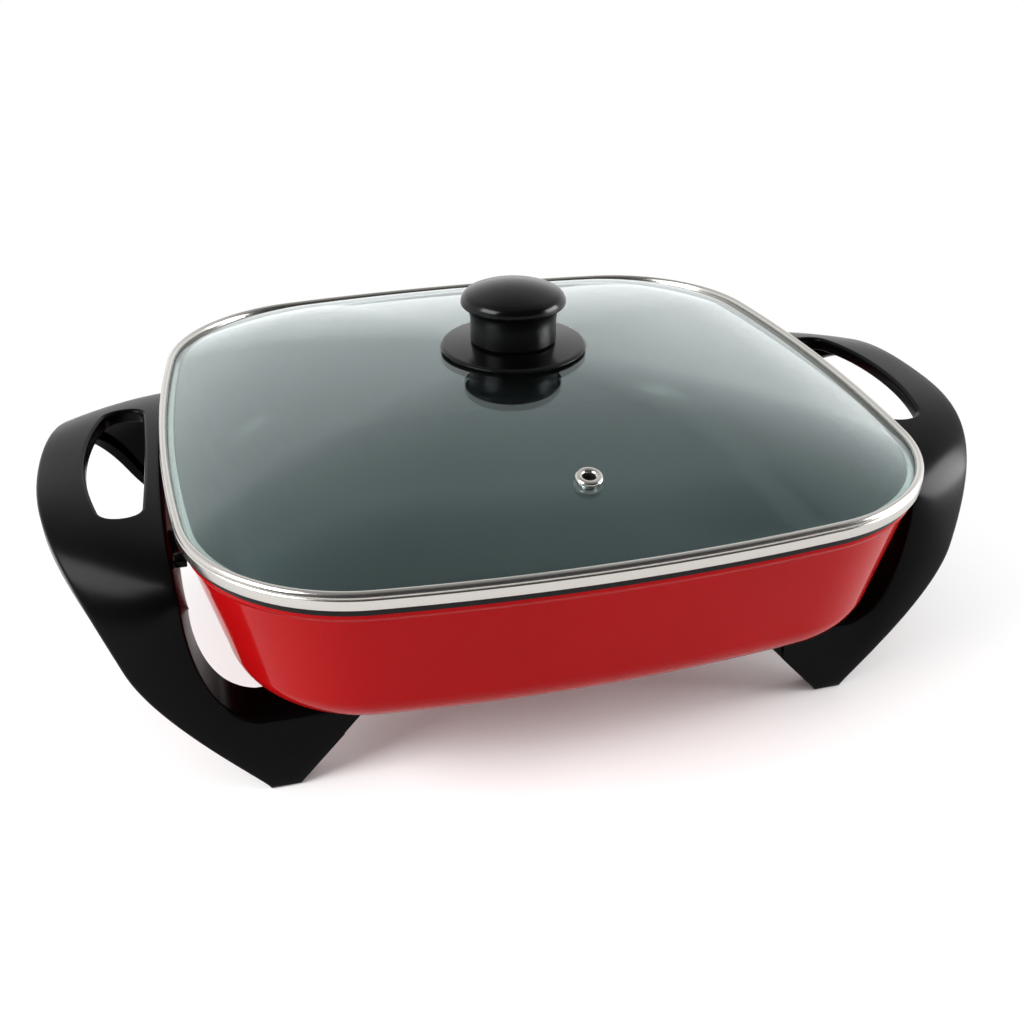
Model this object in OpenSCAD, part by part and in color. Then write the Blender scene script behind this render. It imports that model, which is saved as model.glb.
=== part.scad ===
// Electric hot pot: a deep square skillet pan on two moulded handle brackets,
// under a domed glass lid with a steel rim. Millimetres, +Z up, the table is z = 0.

/* [Pan] */
// Width of the pan across the middle of its rim
pan_w = 296; // [250:1:360]
// Depth of the pan, front to back, across the middle of its rim
pan_d = 286; // [250:1:360]
// Height of the pan from its underside to its lip
pan_h = 63.2; // [50:0.2:90]
// Height of the pan's underside above the table
base_clear = 46; // [40:0.2:70]
// Plan radius of the pan's corners at the rim
corner_r = 68; // [55:1:90]
// How far the left and right sides bow outward
side_bow = 4.1; // [2:0.1:8]
// How far the front and back bow outward
front_bow = 4.4; // [2:0.1:8]
// Thickness of the pan's wall
wall_t = 3.2; // [2.4:0.1:4.5]
// Thickness of the pan's floor
floor_t = 4.2; // [3:0.1:6]
// How far the wall leans inward from rim to base
wall_lean = 7; // [4:0.5:18]
// Radius between the wall and the underside
base_r = 19.2; // [12:0.2:24]
// Height of the plain band round the rim
rim_band_h = 4.6; // [3:0.1:8]
// Step from that band in to the wall
rim_step = 1.2; // [0.6:0.1:2]

/* [Lid] */
// How far the lid's rim stands out past the pan
lid_overhang = 2; // [1:0.1:4]
// Gap under the lid at rest
lid_gap = 0.3; // [0.2:0.1:1]
// Thickness of the glass
glass_t = 4; // [3:0.1:5]
// Height of the glass crown above the top of the steel rim
dome_rise = 21.9; // [14:0.1:30]
// Width of the curved shoulder between the rim and the dome
shoulder_w = 7; // [5:0.5:12]
// Height of the flat band on the steel rim
rim_face_h = 4.2; // [3:0.1:6]
// Width of the rolled bead on the steel rim
bead_w = 3.4; // [3:0.1:6]
// Height of the rolled bead on the steel rim
bead_h = 2.4; // [1.6:0.1:4]
// Width of the rim's ledge under the glass
ledge_w = 6.8; // [5:0.2:14]
// Sheet thickness of the steel rim
rim_t = 0.75; // [0.5:0.05:1]

/* [Knob] */
// Diameter of the knob's neck
neck_d = 36.4; // [28:0.2:44]
// How far the cap stands out past the neck
cap_lip = 3.9; // [2:0.1:6]
// Height from the skirt up to the widest part of the cap
neck_h = 17.2; // [14:0.2:28]
// Height of the cap above its widest part
cap_h = 8.5; // [5:0.1:12]
// How far the skirt stands out past the neck
skirt_lip = 13; // [8:0.5:18]
// Thickness of the skirt's rim
skirt_t = 1.8; // [1.2:0.1:4]
// Fall of the skirt's top from the neck to its rim
skirt_fall = 1; // [0.5:0.1:2]

/* [Vent] */
// Outer diameter of the steam vent's eyelet
vent_d = 10.4; // [8:0.2:14]
// Diameter of the hole through the eyelet
vent_hole_d = 4.6; // [3:0.1:6]
// Distance of the vent in front of the knob
vent_y = 103.5; // [70:0.5:110]
// Height of the eyelet's rolled flange
vent_flange_h = 1.8; // [1:0.1:3]

/* [Brackets] */
// How far the grip reaches out past the lid
handle_reach = 48.4; // [40:0.2:60]
// How far the top of the grip lies below the pan's lip
handle_drop = 3.4; // [2:0.2:8]
// Gap between the pan's rim and the bracket
bracket_gap = 2; // [1.5:0.1:4]
// Distance from the pan's front to the face of a leg
leg_setback = 49; // [40:1:60]
// Distance from the pan's side in to the outer corner of a foot
foot_inset = 24; // [16:1:34]
// Width of the flat under a foot
foot_w = 11.6; // [8:0.2:18]
// Wall thickness of the moulding
bracket_t = 4.6; // [3.6:0.1:5.4]
// Depth of the flange next to the pan
inner_flange = 17.5; // [15:0.5:22]
// Depth of the flange on the outer edge
outer_flange = 9; // [7:0.5:12]
// Crown of the outer face
face_crown = 1.4; // [0.5:0.1:2.5]
// Width of the finger slot
slot_w = 23.2; // [20:0.2:28]
// Length of the finger slot
slot_l = 97; // [80:1:104]
// How far the outer side of the finger slot bows
slot_bow = 6.6; // [2:0.2:9]
// Width of the strip between the finger slot and the pan
slot_strip = 6.8; // [5:0.2:8]
// Distance of a side screw from the middle of the pan
side_screw_y = 52; // [48:0.5:58]
// Height of the cast pads that the brackets are screwed to
pad_h = 3; // [2:0.2:6]
// Diameter of the moulded screw bosses
boss_d = 13; // [11:0.5:16]
// How far a side boss stands out past the moulding's wall
boss_over = 4; // [3:0.2:6]
// Gap between the pan's underside and the ledges of the legs
limb_gap = 12.6; // [11:0.2:17]
// Distance from the outer corner of a foot in to its leg screw
leg_screw_in = 22.6; // [21:0.2:28]
// How far the knee of a leg stands out past the pan
knee_reach = 22.8; // [18:0.2:28]
// Height of the knee above the pan's underside
knee_rise = 16.5; // [10:0.5:22]

/* [Fasteners] */
// Thread diameter of the bracket and inlet screws
screw_d = 4; // [3:0.1:5]
// Head diameter of those screws
screw_head_d = 7.6; // [6:0.1:9]
// Head height of those screws
screw_head_h = 2.6; // [2:0.1:4]
// Outer diameter of the washers
washer_d = 9.6; // [9.2:0.1:12]
// Thickness of the washers
washer_t = 0.9; // [0.6:0.1:1.5]
// Diameter of the screw that holds the knob
knob_screw_d = 5; // [4:0.1:6]

/* [Heater] */
// Diameter of the heating element's sheath
element_d = 7; // [5:0.1:9]
// Distance from the pan's rim in to the element's loop
loop_margin = 60; // [54:1:74]
// Radius of the element's bends
loop_r = 30; // [24:1:40]
// Width of the cast ribs that hold the element
rib_t = 3; // [2:0.1:5]
// Height of the cast ribs
rib_h = 6; // [4:0.1:7]

/* [Inlet] */
// Distance between the two terminal pins
pin_pitch = 36; // [32:0.5:42]
// Diameter of a terminal pin
pin_d = 4.8; // [4:0.1:6]
// Length of a terminal pin in front of its insulator
pin_free = 13; // [9:0.5:15]
// Outer diameter of the ceramic insulators
insulator_d = 11; // [9:0.5:14]
// Width of the inlet's guard
guard_w = 76; // [72:1:90]
// Height of the inlet's guard
guard_h = 34; // [30:0.5:40]
// Depth of the inlet's guard
guard_l = 25; // [22:0.5:34]
// Wall thickness of the inlet's guard
guard_t = 2.6; // [2:0.1:4]
// Outer diameter of the sleeve for the thermostat's probe
probe_d = 9; // [7:0.2:10]
// Diameter of the probe's bore
probe_bore = 6.4; // [5:0.1:6.6]
// How far the sleeve reaches in past the element's loop
probe_in = 22; // [16:1:30]
// Distance from the middle of one guard screw to the other
guard_pitch = 58; // [54:0.5:64]

/* [Fit] */
// Clearance round a screw in its hole
hole_clear = 0.4; // [0.2:0.05:0.8]
// Clearance of small pieces in their seats
seat_clear = 0.2; // [0.1:0.05:0.4]

/* [Hidden] */
$fn = 48;

// Points on a quarter of a pan outline: along a side, round a corner
side_n = 5;
corner_n = 10;
// Small overlap that fuses a boss to the shell that carries it
fuse = 1;
// Overshoot of a cutting tool past the face it cuts
past = 1;

lip_z = base_clear + pan_h;
lid_z = lip_z + lid_gap;
rim_top = lid_z + rim_face_h + bead_h;
lid_x = pan_w / 2 + lid_overhang;

// Circles of the bowed outline of half size a by b, as [centre on its axis, radius]
function bow_r(half, r, bow) = (pow(half - r, 2) + bow * bow) / (2 * bow);
function side_circle(a, b, r, bow) = [a - bow_r(b, r, bow), bow_r(b, r, bow)];
// Corner centre: it lies inside the side circle and the front circle, a corner radius from each
function corner_at(s, f, r) =
  let (p = [s[0], 0], q = [0, f[0]], rp = s[1] - r, rq = f[1] - r)
  let (d = norm(q - p), u = (q - p) / d, along = (rp * rp - rq * rq + d * d) / (2 * d))
  p + u * along + [-u[1], u[0]] * sqrt(rp * rp - along * along);
function bowed_quarter(a, b, r, sb, fb, inset) =
  let (s = side_circle(a, b, r, sb), f = side_circle(b, a, r, fb), c = corner_at(s, f, r))
  let (t1 = atan2(c[1], c[0] - s[0]), t2 = atan2(c[1] - f[0], c[0]))
  concat(
    slice(arc([s[0], 0], s[1] - inset, 0, t1, side_n), 0, side_n - 1),
    slice(arc(c, r - inset, t1, t2, corner_n), 0, corner_n - 1),
    arc([0, f[0]], f[1] - inset, t2, 90, side_n));
function arc(c, r, from, to, n) =
  [for (i = [0 : n]) let (t = from + (to - from) * i / n) c + r * [cos(t), sin(t)]];
function reversed(list) = [for (i = [len(list) - 1 : -1 : 0]) list[i]];
function slice(list, from, to) = [for (i = [from : to]) list[i]];
// Whole bowed outline, counter-clockwise
function bowed_outline(a, b, r, sb, fb, inset = 0) =
  let (q = bowed_quarter(a, b, r, sb, fb, inset), n = len(q))
  concat(
    q,
    [for (p = slice(reversed(q), 1, n - 1)) [-p[0], p[1]]],
    [for (p = slice(q, 1, n - 1)) [-p[0], -p[1]]],
    [for (p = slice(reversed(q), 1, n - 2)) [p[0], -p[1]]]);
function pan_outline(inset) = bowed_outline(pan_w / 2, pan_d / 2, corner_r, side_bow, front_bow, inset);
function at_height(outline, z) = [for (p = outline) [p[0], p[1], z]];

// Skin through rings of points; the rings run counter-clockwise seen from the last ring.
// A hollow or a mirrored ring has its end faces given as convex pieces in cap.
module skin(rings, closed = false, cap = []) {
  n = len(rings[0]);
  m = len(rings);
  last = closed ? m - 1 : m - 2;
  sides = [for (k = [0 : last], i = [0 : n - 1])
    let (a = k * n + i, b = (k + 1) % m * n + i, c = (k + 1) % m * n + (i + 1) % n, d = k * n + (i + 1) % n)
    each [[a, b, c], [a, c, d]]];
  end = len(cap) > 0 ? cap : [[for (i = [0 : n - 1]) i]];
  caps = closed ? [] : concat(end, [for (f = end) [for (i = reversed(f)) (m - 1) * n + i]]);
  polyhedron(points = [for (ring = rings) each ring], faces = concat(sides, caps), convexity = 8);
}
// Strips between the two halves of a mirrored outline
function strip_cap(n) = concat(
  [[0, 1, n - 1]],
  [for (i = [1 : n / 2 - 2]) each [[i, i + 1, n - i - 1], [i, n - i - 1, n - i]]],
  [[n / 2 - 1, n / 2, n / 2 + 1]]);

// Pan section as [inset from the rim outline, height]
fillet_n = 6;
wall_top = lip_z - rim_band_h - rim_step;
wall_run = wall_top - base_clear;
lean_angle = atan(wall_lean / wall_run);
inner_r = base_r - wall_t;
function wall_inset(z) = rim_step + wall_lean * (wall_top - z) / wall_run;
// Fillet of radius r between the leaning wall through [inset, level] at the bottom and the flat there
function fillet(inset, level, r) =
  let (c = [inset + r * tan(45 + lean_angle / 2), level + r])
  [for (i = [0 : fillet_n]) let (t = (90 - lean_angle) * i / fillet_n) c + r * [-sin(t), -cos(t)]];
inner_step = wall_t / cos(lean_angle);
pan_floor_z = base_clear + floor_t;
lip_w = rim_step + inner_step;
module pan_shell() {
  outside = concat(
    fillet(rim_step + wall_lean, base_clear, base_r),
    [[rim_step, wall_top], [0, wall_top + rim_step], [0, lip_z]]);
  inside = concat(
    [[lip_w, lip_z], [wall_inset(wall_top) + inner_step, wall_top]],
    reversed(fillet(wall_inset(pan_floor_z) + inner_step, pan_floor_z, inner_r)));
  rings = [for (p = concat(outside, inside)) at_height(pan_outline(p[0]), p[1])];
  skin(rings, cap = strip_cap(len(rings[0])));
}
// Outer wall of the pan at height z and distance y from the middle
pan_side = side_circle(pan_w / 2, pan_d / 2, corner_r, side_bow);
function wall_x(y, z) = pan_side[0] + sqrt(pow(pan_side[1] - wall_inset(z), 2) - y * y);

// Round bar or hole along +X
module x_rod(d, x, y, z, l) {
  translate([x, y, z]) rotate([0, 90, 0]) cylinder(d = d, h = l);
}
// Ring with a square section, seated on the plane z = 0
module washer(od, id, t) {
  difference() {
    cylinder(d = od, h = t);
    translate([0, 0, -past]) cylinder(d = id, h = t + 2 * past);
  }
}
// Pan-head screw along -Z, its head's seat at z = 0, with a crossed drive
module screw(d, head_d, head_h, l) {
  drive_w = head_d * 0.14;
  drive_l = head_d * 0.55;
  drive_h = head_h * 0.5;
  difference() {
    union() {
      translate([0, 0, -l]) cylinder(d = d, h = l + fuse / 2);
      cylinder(d1 = head_d, d2 = head_d * 0.8, h = head_h);
    }
    for (turn = [0, 90]) rotate([0, 0, turn])
      translate([-drive_l / 2, -drive_w / 2, head_h - drive_h]) cube([drive_l, drive_w, drive_h + past]);
  }
}
screw_hole = screw_d + 2 * hole_clear;
thread_hole = screw_d + 2 * seat_clear;

// Where the brackets are screwed: side bosses and, under the pan, pillars on the legs' ledges
grip_z = lip_z - handle_drop;
leg_y = pan_d / 2 - leg_setback;
foot_x = pan_w / 2 - foot_inset;
side_screw_z = grip_z - 0.8 * inner_flange;
pad_x = wall_x(side_screw_y, side_screw_z) + pad_h;
pad_root = wall_x(side_screw_y, side_screw_z - boss_d / 2) - seat_clear;
// Metal left at the end of a blind screw hole
hole_end = 1.4;
side_bite = pad_h + wall_t - hole_end;
limb_z = base_clear - limb_gap;
pillar_x = foot_x - leg_screw_in;
pillar_y = leg_y - 0.7 * inner_flange;
pillar_z = base_clear - pad_h;
leg_bite = pad_h + floor_t - hole_end;
module mirrored(axis) {
  children();
  mirror(axis) children();
}
module four_ways() {
  mirrored([1, 0, 0]) mirrored([0, 1, 0]) children();
}

// Heating element: a sheathed loop in a cast groove under the pan, its two ends led out to +X
loop_x = pan_w / 2 - loop_margin;
loop_y = pan_d / 2 - loop_margin;
element_z = base_clear - element_d / 2 - seat_clear;
groove_w = element_d + 2 * seat_clear;
tail_y = pin_pitch / 2;
tail_x = wall_x(tail_y, base_clear) - base_r;
module loop_band(width) {
  difference() {
    rounded_rect(loop_x + width / 2, loop_y + width / 2, loop_r + width / 2);
    rounded_rect(loop_x - width / 2, loop_y - width / 2, loop_r - width / 2);
  }
}
module rounded_rect(a, b, r) {
  square([2 * a, 2 * (b - r)], center = true);
  square([2 * (a - r), 2 * b], center = true);
  for (x = [-1, 1], y = [-1, 1]) translate([x * (a - r), y * (b - r)]) circle(r);
}
// The cast rib: a band round the loop, opened where the ends turn out, plus the block for the probe
turn_r = 9;
probe_x = loop_x - probe_in;
probe_cover = 1.5;
probe_z = base_clear - probe_d / 2 - probe_cover;
block_w = probe_d + 2 * rib_t;
block_x = tail_x - fuse;
module element_rib() {
  translate([0, 0, base_clear - rib_h]) linear_extrude(rib_h + fuse) difference() {
    loop_band(groove_w + 2 * rib_t);
    loop_band(groove_w);
    translate([loop_x, 0]) square([4 * (groove_w + rib_t), pin_pitch + 2 * turn_r], center = true);
  }
  translate([probe_x, -block_w / 2, probe_z - probe_d / 2 - rib_t])
    cube([block_x - probe_x, block_w, base_clear + fuse - probe_z + probe_d / 2 + rib_t]);
}

module pan() {
  color("firebrick") difference() {
    union() {
      pan_shell();
      element_rib();
      four_ways() translate([pillar_x, pillar_y, pillar_z]) cylinder(d = boss_d, h = pad_h + fuse);
      four_ways() x_rod(boss_d, pad_root, side_screw_y, side_screw_z, pad_x - pad_root);
      mirrored([0, 1, 0]) translate([tongue_x, guard_pitch / 2, tongue_z])
        cylinder(d = tongue_w, h = base_clear - tongue_z + fuse);
    }
    four_ways() translate([pillar_x, pillar_y, pillar_z - past])
      cylinder(d = thread_hole, h = leg_bite + past);
    four_ways() x_rod(thread_hole, pad_x - side_bite, side_screw_y, side_screw_z, side_bite + past);
    mirrored([0, 1, 0]) translate([tongue_x, guard_pitch / 2, tongue_z - past])
      cylinder(d = thread_hole, h = guard_bite + past);
    x_rod(probe_d + 2 * seat_clear, probe_x + rib_t, 0, probe_z, block_x - probe_x);
  }
}

// Tube of radius r along a path; the rings stand square to the path in the plane of the loop
tube_n = 10;
function path_dir(path, i) =
  let (d = path[min(i + 1, len(path) - 1)] - path[max(i - 1, 0)]) d / norm(d);
function tube_ring(p, d, r) =
  [for (k = [0 : tube_n - 1]) let (t = 360 * k / tube_n)
    p + r * (cos(t) * [d[1], -d[0], 0] + sin(t) * [0, 0, 1])];
module tube(path, r) {
  skin([for (i = [0 : len(path) - 1]) reversed(tube_ring(path[i], path_dir(path, i), r))]);
}
// Half of the element's run, from its end on the +X side round to the middle of the far side
function half_loop() = concat(
  [[pin_x, tail_y]],
  arc([loop_x + turn_r, tail_y + turn_r], turn_r, 270, 180, 5),
  arc([loop_x - loop_r, loop_y - loop_r], loop_r, 0, 90, 6),
  arc([loop_r - loop_x, loop_y - loop_r], loop_r, 90, 180, 6),
  [[-loop_x, 0]]);
module heating_element() {
  half = half_loop();
  rest = [for (p = slice(reversed(half), 1, len(half) - 1)) [p[0], -p[1]]];
  color("dimgray") tube([for (p = concat(half, rest)) [p[0], p[1], element_z]], element_d / 2);
}

// Inlet on the right: a guard screwed to the pan, round the terminal pins and the probe's sleeve
guard_drop = 2;
guard_gap = 2;
guard_z = element_z - guard_drop;
guard_x = wall_x(0, guard_z + guard_h / 2) + guard_gap;
insulator_l = 9;
bush_x = guard_x - (insulator_l - guard_t) / 2;
bush_lip = 1.5;
pin_back = 2;
pin_x = bush_x - pin_back;
// Two tongues run in from the guard to screws under the pan's flat base
tongue_w = 11;
tongue_gap = 3;
tongue_x = loop_x + groove_w / 2 + rib_t + tongue_w / 2 + tongue_gap;
tongue_drop = 8;
tongue_z = base_clear - tongue_drop;
guard_bite = 7;
guard_r = 6;
module guard_outline(grow) {
  hull() for (x = [-1, 1], y = [-1, 1])
    translate([x * (guard_h / 2 - guard_r), y * (guard_w / 2 - guard_r)]) circle(guard_r + grow);
}
module inlet_guard() {
  color("black") difference() {
    union() {
      translate([guard_x, 0, guard_z]) rotate([0, 90, 0]) difference() {
        linear_extrude(guard_l) guard_outline(0);
        translate([0, 0, guard_t]) linear_extrude(guard_l) guard_outline(-guard_t);
      }
      mirrored([0, 1, 0]) translate([tongue_x, guard_pitch / 2, tongue_z - guard_t]) {
        cylinder(d = tongue_w, h = guard_t);
        translate([0, -tongue_w / 2, 0]) cube([guard_x + guard_t / 2 - tongue_x, tongue_w, guard_t]);
      }
    }
    mirrored([0, 1, 0]) {
      x_rod(insulator_d + 2 * seat_clear, guard_x - past, tail_y, element_z, guard_t + 2 * past);
      translate([tongue_x, guard_pitch / 2, tongue_z - guard_t - past])
        cylinder(d = screw_hole, h = guard_t + 2 * past);
    }
    x_rod(probe_d + 2 * seat_clear, guard_x - past, 0, probe_z, guard_t + 2 * past);
  }
}
module guard_screws() {
  seat = tongue_z - guard_t;
  color("silver") mirrored([0, 1, 0]) translate([tongue_x, guard_pitch / 2, seat]) rotate([180, 0, 0])
    screw(screw_d, screw_head_d, screw_head_h, guard_t + guard_bite - seat_clear);
}
// Ceramic bush with a shoulder behind the guard's back plate
pin_step = 0.4;
pin_root_d = pin_d + 2 * pin_step;
module terminal_insulators() {
  color("ivory") mirrored([0, 1, 0]) difference() {
    union() {
      x_rod(insulator_d, bush_x, tail_y, element_z, insulator_l);
      x_rod(insulator_d + 2 * bush_lip, bush_x, tail_y, element_z, guard_x - bush_x - seat_clear);
    }
    x_rod(pin_root_d + 2 * seat_clear, bush_x - past, tail_y, element_z, insulator_l + 2 * past);
  }
}
// Terminal pins: a thicker root through the bush, then the free pin with a domed tip
module terminal_pins() {
  free_x = bush_x + insulator_l;
  color("silver") mirrored([0, 1, 0]) {
    x_rod(pin_root_d, pin_x, tail_y, element_z, free_x - pin_x);
    x_rod(pin_d, free_x - fuse, tail_y, element_z, pin_free + fuse);
    translate([free_x + pin_free, tail_y, element_z]) sphere(d = pin_d);
  }
}
// Sleeve that carries the thermostat's probe from the guard to the hot block under the pan
module probe_sleeve() {
  start = probe_x + rib_t + seat_clear;
  color("silver") difference() {
    x_rod(probe_d, start, 0, probe_z, guard_x + guard_t - start);
    x_rod(probe_bore, start + rib_t, 0, probe_z, guard_x + guard_t - start);
  }
}

// Bracket: its face runs between two edge curves, from the grip (0) past the knee (1) to the foot (2)
lean = 61;
flange_draft = 0.17;
edge_soft = 1.6;
station_n = 9;
grip_x = lid_x + handle_reach;
inner_x = pan_w / 2 + bracket_gap;
leg_corner = [pan_w / 2, -leg_y, base_clear + knee_rise];
knee_out = leg_corner + [knee_reach, 5.7, 0];
hood_fall = 22;
knee_in = [inner_x - 2.7, 4.3 - leg_y, grip_z - hood_fall];
foot_out = [foot_x, -leg_y, 0];
limb_in = [foot_x + 0.8, 2 - leg_y, limb_z];
// Handles of the edge curves at the grip, the knee, the foot and the ledge
bar_run = slot_l / 2 - 8.5;
strip_run = slot_l / 2 + 26;
knee_run = [-18, -15.3, knee_out[2] - grip_z - 1];
shank_run = [0, 0, 10.3];
hood_run = [0, 0, 0.75 * hood_fall];
foot_run = [2, 0, 5];
ledge_run = [20, 0, 4.8];
outer_edge = [
  [[grip_x, 0, grip_z], [grip_x, -bar_run, grip_z], knee_out - knee_run, knee_out],
  [knee_out, knee_out + knee_run / 2, foot_out + foot_run, foot_out]];
inner_edge = [
  [[inner_x, 0, grip_z], [inner_x, -strip_run, grip_z], knee_in + hood_run, knee_in],
  [knee_in, knee_in - shank_run, limb_in + ledge_run, limb_in]];
function cubic(p, t) =
  pow(1 - t, 3) * p[0] + 3 * t * pow(1 - t, 2) * p[1] + 3 * t * t * (1 - t) * p[2] + pow(t, 3) * p[3];
function along(edge, t) = t <= 1 ? cubic(edge[0], t) : cubic(edge[1], t - 1);
function tilt(t) = t <= 1 ? lean * t * t : 90 - (90 - lean) * pow(2 - t, 2);
// U-shaped section in [distance from the inner edge, depth behind the face]
function channel(w) = [
  [0, edge_soft], [edge_soft * 0.3, edge_soft * 0.3], [edge_soft, 0],
  [w * 0.25, -face_crown * 0.75], [w * 0.5, -face_crown], [w * 0.75, -face_crown * 0.75],
  [w - edge_soft, 0], [w - edge_soft * 0.3, edge_soft * 0.3], [w, edge_soft],
  [w, outer_flange], [w - bracket_t, outer_flange], [w - bracket_t, bracket_t],
  [bracket_t - flange_draft * bracket_t, bracket_t],
  [bracket_t - flange_draft * inner_flange, inner_flange], [-flange_draft * inner_flange, inner_flange]];
// Convex pieces of that section: its flanges and its face
channel_cap = [[0, 1, 2, 3, 12], [0, 12, 13, 14], [3, 4, 11, 12], [4, 5, 11], [5, 6, 7, 8, 11], [8, 9, 10, 11]];
function section(inner, outer, angle) =
  let (w = norm(outer - inner), u = (outer - inner) / w, d = [0, sin(angle), -cos(angle)])
  [for (p = channel(w)) inner + p[0] * u + p[1] * d];
// From the foot's far corner the limb's lower edge climbs to a tip under the pan
foot_in = foot_out - [foot_w, 0, 0];
limb_climb = 1.2;
limb_end_gap = 3;
limb_end_h = 2 * bracket_t + limb_end_gap;
limb_end_x = foot_in[0] - (limb_z - limb_end_h) / limb_climb;
limb_tip_h = 2;
limb_tip_x = foot_in[0] - (limb_z - limb_tip_h) / limb_climb;
front_sections = concat(
  [for (i = [0 : 2 * station_n]) let (t = i / station_n)
    section(along(inner_edge, t), along(outer_edge, t), tilt(t))],
  [section([foot_in[0], limb_in[1], limb_z], foot_in, 90),
    section([limb_end_x, limb_in[1], limb_z], [limb_end_x, -leg_y, limb_z - limb_end_h], 90)]);
function to_rear(points) = [for (p = points) [p[0], -p[1], p[2]]];
// Stub that spaces the bracket from the pan's corner
stub_d = 7;
stub_y = leg_y - 19;
stub_z = grip_z - 8;
stub_x = wall_x(stub_y - stub_d / 2, stub_z + stub_d / 2) + seat_clear;
stub_reach = 7.5;
slot_x = inner_x + slot_strip + slot_w / 2;
boss_l = bracket_t + boss_over;
ledge_under = limb_z - bracket_t;
// Finger slot: straight next to the pan, bowed on the side of the grip
slot_r = 0.3 * slot_w;
slot_end_bow = 0.045 * slot_w;
slot_outline = [for (p = bowed_outline(slot_w / 2, slot_l / 2, slot_r, slot_bow / 2, slot_end_bow))
  p - [slot_bow / 2 * pow(2 * p[1] / slot_l, 2), 0]];
// Web that carries the limb's face on to its tip, set in a little from the limb's own faces
tip_inset = 0.5;
module limb_tip() {
  root = limb_end_x + fuse;
  top = limb_z - tip_inset;
  low = limb_z - limb_end_h - fuse * limb_climb + tip_inset;
  translate([0, -limb_in[1] - tip_inset, 0]) rotate([90, 0, 0]) linear_extrude(bracket_t)
    polygon([[root, top], [limb_tip_x, top], [limb_tip_x, limb_z - limb_tip_h], [root, low]]);
}
module bracket() {
  difference() {
    union() {
      skin(concat(
        reversed(front_sections),
        [for (k = [1 : len(front_sections) - 1]) to_rear(front_sections[k])]), cap = channel_cap);
      mirrored([0, 1, 0]) {
        x_rod(boss_d, pad_x, side_screw_y, side_screw_z, boss_l);
        translate([pillar_x, pillar_y, ledge_under]) cylinder(d = boss_d, h = pillar_z - ledge_under);
        x_rod(stub_d, stub_x, stub_y, stub_z, stub_reach);
        limb_tip();
      }
    }
    mirrored([0, 1, 0]) {
      x_rod(screw_hole, pad_x - past, side_screw_y, side_screw_z, boss_l + 2 * past);
      translate([pillar_x, pillar_y, ledge_under - past])
        cylinder(d = screw_hole, h = pillar_z - ledge_under + 2 * past);
    }
    translate([slot_x, 0, grip_z - 2 * outer_flange]) linear_extrude(3 * outer_flange)
      polygon(slot_outline);
  }
}
module right_bracket() {
  color("black") bracket();
}
module left_bracket() {
  color("black") mirror([1, 0, 0]) bracket();
}
module side_screws() {
  seat = pad_x + boss_l + washer_t;
  color("silver") four_ways() translate([seat, side_screw_y, side_screw_z]) rotate([0, 90, 0])
    screw(screw_d, screw_head_d, screw_head_h, seat - pad_x + side_bite - seat_clear);
}
module side_washers() {
  color("silver") four_ways() translate([pad_x + boss_l, side_screw_y, side_screw_z]) rotate([0, 90, 0])
    washer(washer_d, screw_hole, washer_t);
}
module leg_screws() {
  seat = ledge_under - washer_t;
  color("silver") four_ways() translate([pillar_x, pillar_y, seat]) rotate([180, 0, 0])
    screw(screw_d, screw_head_d, screw_head_h, pillar_z - seat + leg_bite - seat_clear);
}
module leg_washers() {
  color("silver") four_ways() translate([pillar_x, pillar_y, ledge_under - washer_t])
    washer(washer_d, screw_hole, washer_t);
}

// Lid: sizes run in from the lid's own outline
function lid_outline(inset) = pan_outline(inset - lid_overhang);
function shrunk(outline, s) = [for (p = outline) p * s];
web_t = 1;
glass_gap = 0.5;
glass_edge = web_t + glass_gap;
glass_bottom = lid_z + rim_t;
crown_z = rim_top + dome_rise;
// Steel rim: a flat band, a rolled bead over the glass, and a ledge under it, as [inset, height]
bead_n = 7;
slot_top = glass_bottom + glass_t;
module lid_rim() {
  bead_c = [bead_w / 2, lid_z + rim_face_h];
  crease = 0.4;
  bead = [for (p = arc([0, 0], 1, 180, 0, bead_n)) bead_c + [bead_w / 2 * p[0], bead_h * p[1]]];
  profile = concat(
    [[0, lid_z], [0, bead_c[1] - crease], [crease, bead_c[1]]],
    slice(bead, 1, bead_n - 1),
    [[bead_w, slot_top], [web_t, slot_top], [web_t, glass_bottom]],
    [[ledge_w, glass_bottom], [ledge_w, lid_z]]);
  color("silver") skin([for (p = profile) at_height(lid_outline(p[0]), p[1])], closed = true);
}
// Glass: flat in the rim, then a shoulder, then a shallow dome of scaled outlines
dome_n = 5;
shoulder_n = 3;
dome_s = 1 - (bead_w + shoulder_w) / lid_x;
dome_end = 0.12;
function dome_z(s) = crown_z - dome_rise * s * s;
glass_in = lid_outline(bead_w + glass_gap);
function eased(t) = t * t * (3 - 2 * t);
function glass_rings(drop) =
  let (edge_z = slot_top, shoulder_z = dome_z(dome_s))
  concat(
    [at_height(lid_outline(glass_edge), edge_z - drop), at_height(glass_in, edge_z - drop)],
    [for (i = [1 : shoulder_n]) let (t = i / shoulder_n)
      at_height([for (k = [0 : len(glass_in) - 1]) glass_in[k] * (1 - t) + lid_outline(0)[k] * dome_s * t],
        edge_z + (shoulder_z - edge_z) * (t + eased(t)) / 2 - drop)],
    [for (i = [1 : dome_n]) let (s = dome_s + (dome_end - dome_s) * i / dome_n)
      at_height(shrunk(lid_outline(0), s), dome_z(s) - drop)]);
module lid_glass() {
  color("lightcyan", 0.4) difference() {
    skin(concat(reversed(glass_rings(glass_t)), glass_rings(0)), cap = strip_cap(len(glass_in)));
    translate([0, 0, crown_z - 2 * glass_t]) cylinder(d = knob_hole, h = 3 * glass_t);
    vent_frame() translate([0, 0, -2 * glass_t])
      cylinder(d = vent_tube_d + 2 * seat_clear, h = 3 * glass_t);
  }
}

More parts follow.
